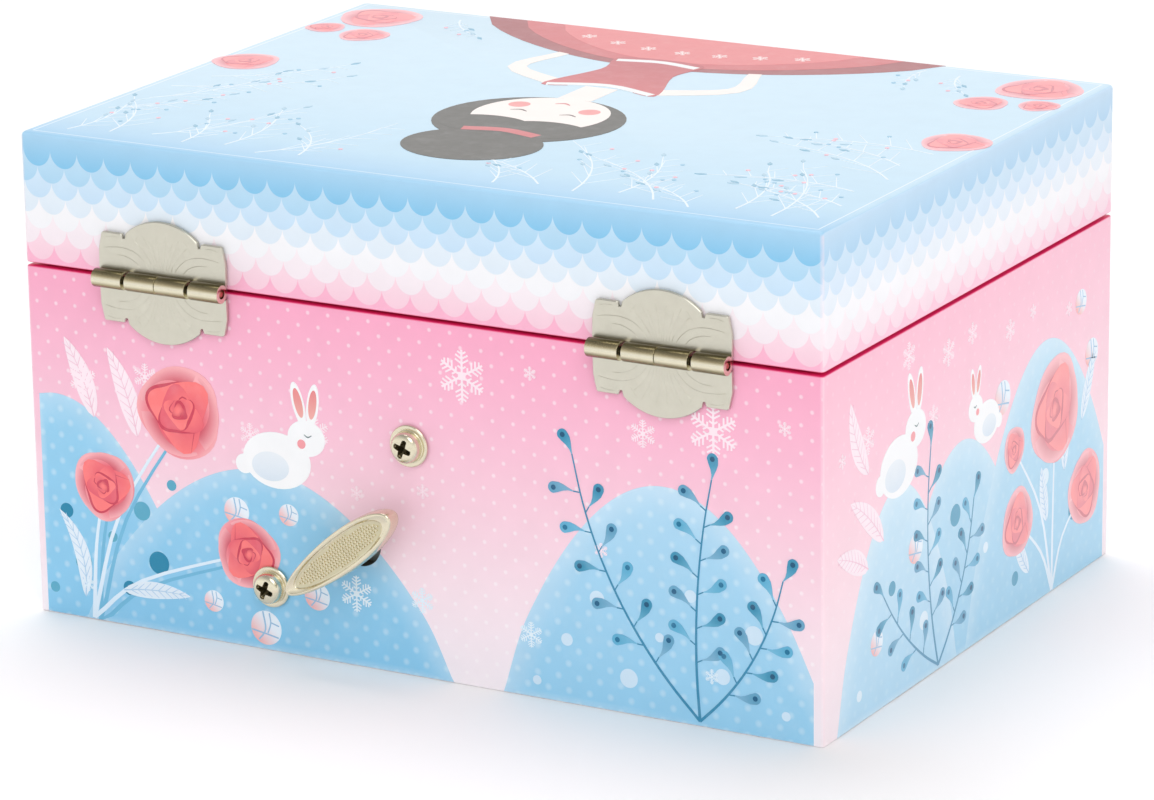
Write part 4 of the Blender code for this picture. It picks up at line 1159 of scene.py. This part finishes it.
def add_leaf_plate(bm, hinge_x, up):
    """The pressed sheet: its outer face is cut into v-grooves along the engraving."""
    edge = [Vector(p) for p in leaf_outline()]
    count = len(edge)
    points, edges = [], []
    add_loop(points, edges, edge)
    add_loop(points, edges, [edge[k] + across((edge[(k + 1) % count] - edge[k - 1]).normalized()) * 0.14
                             for k in range(count)])
    grooves = set()
    for path, deep in engraving():
        line = smooth_path(path, 3)
        rails = ([], [], [])
        for k, point in enumerate(line):
            taper = 0.2 + 0.8 * math.sin(math.pi * (k + 0.5) / len(line))
            for rail, offset in zip(rails, (-1, 0, 1)):
                rail.append(len(points))
                points.append(point + across(heading(line, k)) * offset * deep * 2.1 * taper)
        grooves.update(rails[1][1:-1])
        for rail in rails:
            edges += list(zip(rail, rail[1:]))
    flat, _, faces, origins, *_ = delaunay_2d_cdt(points, edges, [], 1, 1e-4)
    rim = set(range(count))
    front, back = LEAF_BACK + LEAF_T, LEAF_BACK
    verts = []
    for k, spot in enumerate(flat):
        y = front
        if any(o in rim for o in origins[k]):
            y -= 0.13
        elif any(o in grooves for o in origins[k]):
            y -= 0.042
        verts.append(bm.verts.new((hinge_x + spot.x, y, HINGE_Z + up * spot.y)))
    lookup = {o: k for k, group in enumerate(origins) for o in group if o in rim}
    order = [verts[lookup[k]] for k in range(count)]
    for face in faces:
        bm.faces.new([verts[k] for k in face])
    under = [bm.verts.new((v.co.x, back, v.co.z)) for v in order]
    for k in range(count):
        bm.faces.new((order[k], order[(k + 1) % count], under[(k + 1) % count], under[k]))
    bm.faces.new(under)


def add_knuckle(bm, low, high):
    outer, bore = 2.0, 1.0
    profile = [(bore, low), (outer - 0.1, low), (outer - 0.03, low + 0.03), (outer, low + 0.1),
               (outer, high - 0.1), (outer - 0.03, high - 0.03), (outer - 0.1, high), (bore, high)]
    for face in add_turned(bm, profile, "X", HINGE_Y, HINGE_Z, 56, closed=True):
        face.material_index = 1


def build_hinges():
    """On each side a leaf on the lid, a leaf on the case, their knuckles and the wire pin."""
    for side, hinge_x in (("left", HINGE_X), ("right", -HINGE_X)):
        for half, up, body in (("lid", 1, "lid"), ("case", -1, "case")):
            bm = bmesh.new()
            add_leaf_plate(bm, hinge_x, up)
            for start, end in ((-LEAF_HALF, -8.4), (0.08, 7.5)):
                low, high = sorted((hinge_x + up * start, hinge_x + up * end))
                add_knuckle(bm, low, high)
                z0, z1 = sorted((HINGE_Z, HINGE_Z + up * 1.7))
                add_block(bm, low + 0.1, high - 0.1, LEAF_BACK + 0.02, LEAF_BACK + LEAF_T - 0.02, z0, z1)
            name = "hinge_" + side + "_" + half + "_leaf"
            plate = object_from(name + "_plate", bm, [NICKEL, BARREL], body, angle=24)
            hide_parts(name)
        bm = bmesh.new()
        end = LEAF_HALF - 0.1
        half = [(0.5, end), (0.66, end - 0.12), (0.7, end - 0.3), (0.7, 14.2), (0.7, 13.8)]
        profile = [(r, hinge_x - h) for r, h in half] + [(r, hinge_x + h) for r, h in reversed(half)]
        add_turned(bm, profile, "X", HINGE_Y, HINGE_Z, 32)
        add_turned(bm, [(0.9, hinge_x - end + 0.5), (0.9, hinge_x - end + 0.7)], "X", HINGE_Y, HINGE_Z, 32)
        pin = object_from("hinge_" + side + "_wire", bm, [COPPER, PAINTED_SHADE.mat], "case")
        # The wire's middle, seen only in the narrow gaps between knuckles, takes the painted shade material
        # for the shadow there; its ends stay copper.
        for face in pin.data.polygons:
            face.material_index = int(abs(face.center.x / MM - hinge_x) < 14)
        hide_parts("hinge_" + side + "_pin")


def key_spot(along, aside, depth):
    """A place on the key's bar: along it, beside its middle line, and out from the case's back."""
    return (KEY_X - along * math.cos(KEY_TILT) + aside * math.sin(KEY_TILT), HALF_D + depth,
            KEY_Z + along * math.sin(KEY_TILT) + aside * math.cos(KEY_TILT))


def key_ring(depth, inset, long=16.4, wide=4.3, count=120):
    """The bar's outline, a little egg-shaped, drawn in by the inset."""
    ring = []
    for k in range(count):
        a = math.tau * k / count
        aside = (wide - inset) * math.sin(a) * (1 + 0.15 * math.cos(a))
        ring.append(key_spot((long - inset) * math.cos(a), aside, depth))
    return ring


def build_key():
    bm = bmesh.new()
    rim = ((5.7, 0.75), (5.78, 0.4), (6.05, 0.1), (6.4, 0.0), (9.0, 0.0), (9.35, 0.06), (9.6, 0.25),
           (9.7, 0.5), (9.68, 0.75), (9.5, 0.98))
    pan = ((9.3, 0.35), (9.12, 0.45), (8.95, 0.7), (8.9, 1.0))
    add_rings(bm, [key_ring(*step) for step in rim] + [key_ring(*step, long=14.1, wide=3.75) for step in pan])
    corners = ((-1, -1), (1, -1), (1, 1), (-1, 1))
    for i in range(-15, 16):
        for j in range(-4, 5):
            along, aside = i * 0.82 + (0.2 if j % 2 else 0.0), j * 0.6
            limit = (2.45 * (1 + 0.15 * along / 12.6)) * math.sqrt(max(0.0, 1 - (along / 12.6) ** 2))
            if abs(aside) <= limit:
                add_rings(bm, [[key_spot(along + a * half, aside + b * (half - 0.1), depth)
                                for a, b in corners] for half, depth in ((0.3, 8.86), (0.22, 9.2))])
    socket = [(1.8, 66.6), (2.45, 66.4), (2.6, 66.6), (2.6, 75.4), (3.1, 75.8), (1.0, 76.0), (1.0, 72.5),
              (1.8, 72.4)]
    add_turned(bm, socket, "Y", KEY_X, KEY_Z, 48, closed=True)
    key = object_from("winding_key_bar", bm, [KEY_NICKEL, KEY_PAN], "key", angle=38)
    for face in key.data.polygons:
        face.material_index = int(8.8 < face.center.y / MM - HALF_D < 8.95 and face.normal.y > 0.5)
    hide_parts("winding_key")


def build_screws():
    """Washer, domed head and shank in one, with a cross recess that deepens in three steps."""
    face = HALF_D + 0.3
    for name, (x, z) in SCREWS.items():
        bm = bmesh.new()
        head = ((1.4, 0.0), (4.35, 0.0), (4.5, 0.12), (4.5, 0.42), (4.35, 0.6), (4.05, 0.68), (3.75, 0.62),
                (3.55, 0.6), (3.42, 0.7), (3.36, 1.0), (3.32, 1.7), (3.2, 2.2), (2.9, 2.66), (2.4, 2.98),
                (1.6, 3.16), (0.7, 3.22))
        shank = [(1.3, 63.6), (1.4, 63.9)]
        add_turned(bm, shank + [(r, face + h) for r, h in head], "Y", x, z, 64)
        screw = object_from(name + "_head", bm, KEY_NICKEL, "case", angle=34)
        cross = bmesh.new()
        arms = []
        for depth, long, wide in ((1.5, 1.0, 0.28), (2.4, 1.75, 0.46), (3.6, 2.1, 0.56)):
            loop = []
            for k in range(4):
                a = math.radians(90 * k + 20)
                ahead = Vector((math.cos(a), math.sin(a)))
                side = across(ahead)
                for p in (ahead * long - side * wide, ahead * (long + wide * 0.4), ahead * long + side * wide,
                          ahead * wide * 1.25 + side * wide * 1.25):
                    loop.append((x + p.x, face + depth, z + p.y))
            arms.append(loop)
        add_rings(cross, arms)
        cut(screw, cross)
        # The faces deep in the cross recess take the painted shade material, for the shade inside it.
        for polygon in screw.data.polygons:
            c = polygon.center / MM
            if math.hypot(c.x - x, c.z - z) < 2.2 and c.y < face + 2.7 and c.y > face + 1.3:
                polygon.material_index = 1
        screw.data.materials.append(PAINTED_SHADE.mat)
        smooth(screw, 34)
        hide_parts(name)


# --------------------------------------------------------------------- interior

def refine(node, material, width, segments=3):
    """A finer copy of a rigid CAD node, its edges eased."""
    source = nodes[node]
    bm = bmesh.new()
    bm.from_mesh(source.data)
    bmesh.ops.remove_doubles(bm, verts=bm.verts, dist=1e-6)
    bmesh.ops.dissolve_limit(bm, angle_limit=math.radians(1), verts=bm.verts, edges=bm.edges)
    for vert in bm.verts:
        vert.co /= MM
    obj = object_from(node + "_eased", bm, material, source["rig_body"], angle=0)
    modifier = obj.modifiers.new("ease", "BEVEL")
    modifier.width, modifier.segments, modifier.limit_method = width * MM, segments, "ANGLE"
    modifier.angle_limit = math.radians(40)
    apply_modifiers(obj)
    smooth(obj, 35)
    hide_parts(node)


def build_interior():
    for node in ("floor_pad", "stage_deck", "stage_front", "stage_wall_left", "stage_wall_right",
                 "divider_left", "divider_right", "divider_front", "lid_lining"):
        refine(node, LINING, 0.55)
    refine("lid_mirror", MIRROR, 0.3, 2)
    refine("base_board", BASE_PAPER, 0.3, 2)
    build_cushion()


def build_cushion():
    """Ring rolls: soft bars with slots between them on a block that fills the corner tray."""
    low, high = (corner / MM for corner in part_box("ring_cushion"))
    rolls, steps = 6, 10
    x0, x1, y0, y1 = low.x + 0.8, high.x - 0.8, low.y + 0.8, high.y - 0.8
    pitch = (y1 - y0) / rolls
    section = [(y0, low.z + 0.6)]
    for k in range(rolls):
        for s in range(steps + 1):
            a = math.pi * s / steps
            y = y0 + pitch * (k + 0.5) - (pitch / 2 - 0.35) * math.cos(a)
            section.append((y, high.z - 8.6 + 7.0 * math.sin(a) ** 0.7))
        if k < rolls - 1:
            section += [(y0 + pitch * (k + 1) + way * 0.3, high.z - 13.0) for way in (-1, 1)]
    section.append((y1, low.z + 0.6))
    bm = bmesh.new()
    middle = Vector(((y0 + y1) / 2, low.z + 10))
    ends = ((x0, 0.93), (x0 + 0.7, 0.975), (x0 + 2.5, 1.0), (x1 - 2.5, 1.0), (x1 - 0.7, 0.975), (x1, 0.93))
    add_rings(bm, [[(x, *(middle + (Vector(p) - middle) * keep)) for p in section] for x, keep in ends])
    obj = object_from("ring_rolls", bm, CUSHION, "case", angle=0)
    remesh = obj.modifiers.new("remesh", "REMESH")
    remesh.mode, remesh.voxel_size = "VOXEL", 1.5 * MM
    apply_modifiers(obj)
    swell(obj)
    modifier = obj.modifiers.new("even", "SMOOTH")
    modifier.factor, modifier.iterations = 0.5, 3
    subdivide = obj.modifiers.new("subdivide", "SUBSURF")
    subdivide.levels = subdivide.render_levels = 1
    apply_modifiers(obj)
    for vert in obj.data.vertices:
        vert.co = [min(max(c, a * MM + 5e-5), b * MM - 5e-5) for c, a, b in zip(vert.co, low, high)]
    obj.data.shade_smooth()
    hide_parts("ring_cushion")


def swell(obj, cap=0.0022):
    """Blow the shape up as cloth under pressure, each point by at most the cap in metres."""
    before = [v.co.copy() for v in obj.data.vertices]
    scene = bpy.context.scene
    cloth = obj.modifiers.new("cloth", "CLOTH")
    settings = cloth.settings
    settings.use_pressure, settings.uniform_pressure_force = True, 4.0
    settings.effector_weights.gravity = 0.0
    settings.quality, settings.tension_stiffness, settings.bending_stiffness = 5, 15.0, 0.5
    cloth.collision_settings.use_collision = False
    cloth.point_cache.frame_start, cloth.point_cache.frame_end = 1, 20
    for step in range(1, 21):
        scene.frame_set(step)
    graph = bpy.context.evaluated_depsgraph_get()
    moved = [v.co.copy() for v in obj.evaluated_get(graph).data.vertices]
    obj.modifiers.clear()
    scene.frame_set(1)
    for vert, start, end in zip(obj.data.vertices, before, moved):
        shift = end - start
        if shift.length > cap:
            shift *= cap / shift.length
        vert.co = start + shift
    obj.data.update()


def build_movement():
    plan = {ZINC: ("zinc_casting", 0.25, ("bedplate", "cylinder_bracket", "comb_rail", "governor_bracket")),
            BRASS: ("brass", 0.1, ("spring_barrel", "barrel_cap", "drive_wheel", "governor_wheel",
                                   "governor_fan", "dancer_gear", "spindle_bush")),
            STEEL: ("bright_steel", 0.08, ("comb", "stop_plunger", "comb_screw_upper", "comb_screw_lower",
                                           "winding_arbor", "dancer_spindle")),
            NICKEL: ("warm_nickel", 0.2, ("stay_case_bracket", "stay_lid_bracket", "stay_arm"))}
    for material, (slot, width, group) in plan.items():
        for node in group:
            refine(node, material, width, 2)
    for node, material in (("pin_cylinder", BRASS), ("mainspring", STEEL), ("clutch_spring", STEEL),
                           ("cylinder_arbor", STEEL), ("governor_worm", STEEL)):
        data = nodes[node].data
        data.materials.clear()
        data.materials.append(material)


# ----------------------------------------------------------------------- dancer

def lean_place():
    return Matrix.Translation(Vector((DANCER_X, DANCER_Y, PIVOT_Z))) @ Matrix.Rotation(LEAN, 4, "X")


def dancer_piece(name, bm, material, angle=50):
    bmesh.ops.transform(bm, matrix=lean_place(), verts=bm.verts)
    return object_from(name, bm, material, "dancer", angle=angle)


def plastic(name, colour, rough=0.38):
    g = Graph(name, Coat_Weight=0.1, Coat_Roughness=0.3)
    tone = g.mix(g.noise(0.6, 3.0), colour, lerp(colour, (1, 1, 1), 0.12))
    g.bump(g.noise(2.5, 2.0), 0.06, 0.03)
    return g.finish(tone, g.spread(g.noise(1.2), rough - 0.06, rough + 0.08))


def chin(z):
    """Share of the head's width and depth left at this height of its unit sphere."""
    return 1 - 0.20 * max(0.0, -z) ** 1.6


def build_body():
    """Head, ears, neck, raised arms and legs."""
    def head(x, y, z):
        cheek = 1 + 0.05 * math.exp(-((z + 0.25) / 0.3) ** 2)
        back = -0.05 if y < 0 else 0.04
        return HEAD_W * x * chin(z) * cheek, HEAD_D * y * chin(z) + back, HEAD_Z + HEAD_H * z

    bm = bmesh.new()
    add_turned(bm, [(0.4, 24.6), (1.7, 24.9), (2.1, 25.4), (1.5, 26.3), (0.95, 26.9), (0.72, 27.5),
                    (0.72, 28.4), (0.3, 28.6)], "Z", 0, 0, 40)
    add_ball(bm, 48, 32, head)
    add_ball(bm, 16, 12, lambda x, y, z: (0.24 * x, -HEAD_D + 0.26 * y, 29.9 + 0.34 * z))
    for side in (-1, 1):
        add_ball(bm, 14, 10, lambda x, y, z: (side * 2.12 + 0.2 * x, 0.15 + 0.34 * y, 30.0 + 0.5 * z))
        path, radii = [], []
        for k in range(25):
            share = k / 24
            angle = math.radians(-62 + 146 * share)
            path.append((side * (0.55 + 4.85 * math.cos(angle)), -0.9 * share, 31.3 + 7.9 * math.sin(angle)))
            radii.append(0.72 - 0.3 * share + 0.08 * math.sin(math.pi * share * 2))
        add_sweep(bm, path + [(side * 0.28, -0.95, 39.35)], radii + [0.2], 16)
    for side, swing in LEGS:
        path = smooth_path([(side * 0.95, 0.0, 17.6), (side * 0.9, swing * 0.5, 15.0),
                            (side * 0.72, swing, 12.2), (side * 0.6, swing, 10.6),
                            (side * 0.55, swing * 1.2, 9.0), (side * 0.42, swing, 7.2)], 5)
        radii = []
        for k in range(len(path)):
            share = k / (len(path) - 1)
            calf = 0.14 * math.sin(math.pi * share * 2.2) * share
            radii.append(1.12 - 0.34 * share - calf - 0.22 * share ** 3)
        add_sweep(bm, path, radii, 20)
    figure = dancer_piece("dancer_body", bm, plastic("dancer_skin", rgb(250, 222, 206)))
    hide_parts("dancer_figure")


def build_bodice():
    bm = bmesh.new()
    add_turned(bm, [(0.6, 17.0), (1.9, 17.2), (2.55, 18.0), (2.75, 18.8), (2.3, 20.0), (1.75, 21.3),
                    (1.62, 22.2), (1.95, 23.4), (2.35, 24.4), (2.42, 25.0), (2.15, 25.35), (1.6, 25.2),
                    (0.6, 25.1)], "Z", 0, 0, 48)
    for side in (-1, 1):
        strap = [(side * 1.5, -1.5, 25.0), (side * 1.75, -0.9, 25.9), (side * 1.7, 0.2, 26.15),
                 (side * 1.4, 1.2, 25.4)]
        add_sweep(bm, smooth_path(strap, 5), 0.2, 10)
    add_turned(bm, [(1.9, 18.9), (2.78, 19.0), (2.88, 19.35), (2.7, 19.7), (1.9, 19.75)], "Z", 0, 0, 48)
    dancer_piece("dancer_bodice", bm, plastic("dancer_satin", rgb(240, 134, 160), 0.3))


def build_shoes():
    """The foot's disc and the two shoes standing on their toes."""
    bm = bmesh.new()
    add_turned(bm, [(2.0, 3.6), (2.4, 3.6), (2.6, 3.8), (2.6, 4.1), (2.45, 4.3), (1.6, 4.6), (1.2, 4.9),
                    (0.5, 5.0)], "Z", 0, 0, 40)
    for side, swing in LEGS:
        path = smooth_path([(side * 0.36, swing * 0.6, 4.6), (side * 0.36, swing * 0.8, 5.6),
                            (side * 0.4, swing, 6.6), (side * 0.43, swing, 7.6)], 4)
        add_sweep(bm, path, [0.26 + 0.3 * math.sin(math.pi * 0.5 * min(1.0, k / (len(path) - 1) * 1.6))
                             for k in range(len(path))], 16)
    dancer_piece("dancer_shoes", bm, plastic("dancer_shoe", rgb(246, 176, 192), 0.3))


def build_hair():
    """A combed cap cut off by a sloping hairline, and a bun."""
    def cap(x, y, z):
        groove = 1 + 0.012 * math.sin(math.atan2(x, z) * 26)
        return 2.34 * x * groove, 0.42 + 2.2 * y * groove, 30.6 + 2.36 * z * groove

    def bun(x, y, z):
        swirl = 1 + 0.03 * math.sin(math.atan2(y, x) * 3 + z * 7)
        return 1.25 * x * swirl, 1.7 + 1.15 * y * swirl, 32.4 + 1.1 * z

    bm = bmesh.new()
    add_ball(bm, 48, 32, cap)
    for vert in bm.verts:
        hairline = -0.95 + 0.5 * (vert.co.z - HEAD_Z) * 0.35
        if vert.co.y < hairline and vert.co.z < 31.9:
            vert.co.y = hairline
    add_ball(bm, 40, 24, bun)
    dancer_piece("dancer_hair", bm, plastic("dancer_hair", rgb(112, 74, 52), 0.45))


def build_face():
    """Closed eyes and brows, a small mouth, and the bun's ribbon."""
    bm = bmesh.new()
    for side in (-1, 1):
        add_sweep(bm, face_arc(side * 0.82, 30.25, 0.42, 0.16), 0.055, 8)
        add_sweep(bm, face_arc(side * 0.84, 30.95, 0.46, -0.12), 0.04, 8)
    dancer_piece("dancer_eyes", bm, plastic("dancer_lines", rgb(96, 58, 50), 0.5))
    bm = bmesh.new()
    add_sweep(bm, face_arc(0.0, 29.05, 0.36, 0.1), 0.075, 8)
    add_turned(bm, [(1.15, 33.28), (1.3, 33.2), (1.3, 33.45), (1.15, 33.5)], "Z", 0, 1.7, 32, closed=True)
    dancer_piece("dancer_lips", bm, plastic("dancer_blush", rgb(240, 150, 150), 0.5))


def face_arc(x, z, half, sag):
    """A short arc lying on the front of the head."""
    path = []
    for k in range(9):
        t = -1 + k / 4
        px, pz = x + half * t, z - sag * (1 - t * t)
        rel = (pz - HEAD_Z) / HEAD_H
        inner = max(0.02, 1 - rel ** 2 - (px / (HEAD_W * chin(rel))) ** 2)
        path.append((px, -(HEAD_D * chin(rel)) * math.sqrt(inner) - 0.06, pz))
    return path


def build_tutu():
    """Three gathered layers of net standing out from the hips."""
    g = Graph("tulle_net", Sheen_Weight=0.5, Sheen_Roughness=0.5)
    weave = g.noise(7.0, 1.0)
    tone = g.mix(weave, rgb(250, 205, 222), rgb(255, 236, 243))
    g.bump(weave, 0.4, 0.05)
    tulle = g.finish(tone, g.spread(weave, 0.7, 0.9))
    spokes, girth, depth = 288, math.tau * 11.3, 10.0
    for layer in range(3):
        rings = []
        lift = 0.75 * layer
        waves = 24 + 3 * layer
        for share in [k / 12 for k in range(13)]:
            loop = []
            for k in range(spokes):
                a = math.tau * k / spokes
                ripple = 0.34 * share ** 1.2 * math.sin(a * waves + layer * 1.3)
                ripple += 0.10 * share * math.sin(a * (waves // 2 + 1) + 2.0)
                z = 18.6 + lift * (1 - 0.45 * share) - 1.0 * share ** 1.6 + ripple * 0.62
                loop.append((*polar(0.0, 0.0, 2.8 + (8.5 - 0.55 * layer) * share, a), z))
            rings.append(loop)
        bm = bmesh.new()
        add_rings(bm, rings, caps=False)
        area = sum(face.calc_area() for face in bm.faces)
        bmesh.ops.solidify(bm, geom=bm.faces[:], thickness=0.07)
        piece = dancer_piece("tutu_layer_%d" % (layer + 1), bm, tulle, angle=60)
        if layer == 0:
            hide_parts("dancer_tutu")


def coil_centre(bend):
    """The coil's middle line bows back as she lies down; bend is the angle reached so far."""
    bow = COIL_LENGTH / LEAN
    return Vector((DANCER_X, DANCER_Y - bow * (1 - math.cos(bend)), COIL_BASE + bow * math.sin(bend)))


def build_spring():
    path = []
    steps = COIL_TURNS * 32
    for k in range(steps + 1):
        bend = LEAN * k / steps
        out = Vector((0, -math.cos(bend), -math.sin(bend)))
        p, q = polar(0.0, 0.0, COIL_RADIUS, math.tau * COIL_TURNS * k / steps)
        path.append(coil_centre(bend) + Vector((p, 0, 0)) + out * q)
    bm = bmesh.new()
    add_sweep(bm, path, 0.32, 12)
    bmesh.ops.recalc_face_normals(bm, faces=bm.faces)
    coil = mesh_object("dancer_coil", bm)
    coil.data.materials.append(STEEL)
    coil.data.shade_smooth()
    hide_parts("dancer_spring")
    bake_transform(coil)


# ------------------------------------------------------------------------ stage

def build_stage():
    bm = bmesh.new()
    bmesh.ops.create_grid(bm, x_segments=1, y_segments=1, size=6.0 / MM)
    floor = mesh_object("floor", bm)
    g = Graph("floor_white", Roughness=0.9, Specular_IOR_Level=0.1)
    floor.data.materials.append(g.finish(g.mix(g.noise(0.002), (0.955, 0.955, 0.952), (0.965, 0.965, 0.962))))

    world = bpy.data.worlds.new("studio")
    bpy.context.scene.world = world
    world.use_nodes = True
    tree = world.node_tree
    back = tree.nodes["Background"]
    coords = tree.nodes.new("ShaderNodeTexCoord")
    split = tree.nodes.new("ShaderNodeSeparateXYZ")
    ramp = tree.nodes.new("ShaderNodeValToRGB")
    tree.links.new(coords.outputs["Generated"], split.inputs[0])
    tree.links.new(split.outputs[2], ramp.inputs[0])
    tree.links.new(ramp.outputs[0], back.inputs[0])
    shades = ((0.0, (1.0, 1.0, 1.0, 1.0)), (0.75, (0.36, 0.36, 0.37, 1.0)))
    for element, (position, colour) in zip(ramp.color_ramp.elements, shades):
        element.position, element.color = position, colour
    back.inputs[1].default_value = 1.25
    lamp("overhead_light", (0.5, -0.6, 2.3), 1.5, 23.0)
    lamp("key_light", (-0.9, 1.3, 1.9), 1.6, 14.0)
    lamp("side_light", (-2.1, -0.1, 0.9), 1.2, 2.0)


def lamp(name, place, size, power):
    """A round soft light aimed at the box; its place and size are metres."""
    data = bpy.data.lights.new(name, "AREA")
    data.shape, data.size, data.energy = "DISK", size, power
    obj = bpy.data.objects.new(name, data)
    bpy.context.scene.collection.objects.link(obj)
    obj.location = place
    aim = Vector((0, 0, 0.05)) - Vector(place)
    obj.rotation_euler = aim.to_track_quat("-Z", "Y").to_euler()


def build_camera():
    azimuth, elevation, roll = CAMERA_AZIMUTH, CAMERA_ELEVATION, CAMERA_ROLL
    ahead = Vector((-math.sin(azimuth) * math.cos(elevation), math.cos(azimuth) * math.cos(elevation),
                    -math.sin(elevation)))
    right = ahead.cross(Vector((0, 0, 1))).normalized()
    up = right.cross(ahead)
    right, up = right * math.cos(roll) + up * math.sin(roll), up * math.cos(roll) - right * math.sin(roll)
    data = bpy.data.cameras.new("camera")
    data.sensor_width, data.lens = 36.0, CAMERA_LENS
    data.clip_start, data.clip_end = 0.05, 20.0
    camera = bpy.data.objects.new("camera", data)
    bpy.context.scene.collection.objects.link(camera)
    turn = Matrix((right, up, -ahead)).transposed()
    camera.matrix_world = Matrix.Translation(CAMERA_PLACE_M) @ turn.to_4x4()
    bpy.context.scene.camera = camera
    bpy.context.scene.view_settings.view_transform = "Standard"


build_camera()
build_stage()
build_shells()
back_art()
side_art("case_art_side_right", lambda u, v, h: (-HALF_W - h, HALF_D - u, v))
side_art("case_art_side_left", lambda u, v, h: (HALF_W + h, HALF_D - u, v))
front_art()
top_art()
build_hinges()
build_key()
build_screws()
build_interior()
build_movement()
build_body()
build_bodice()
build_shoes()
build_hair()
build_face()
build_tutu()
build_spring()
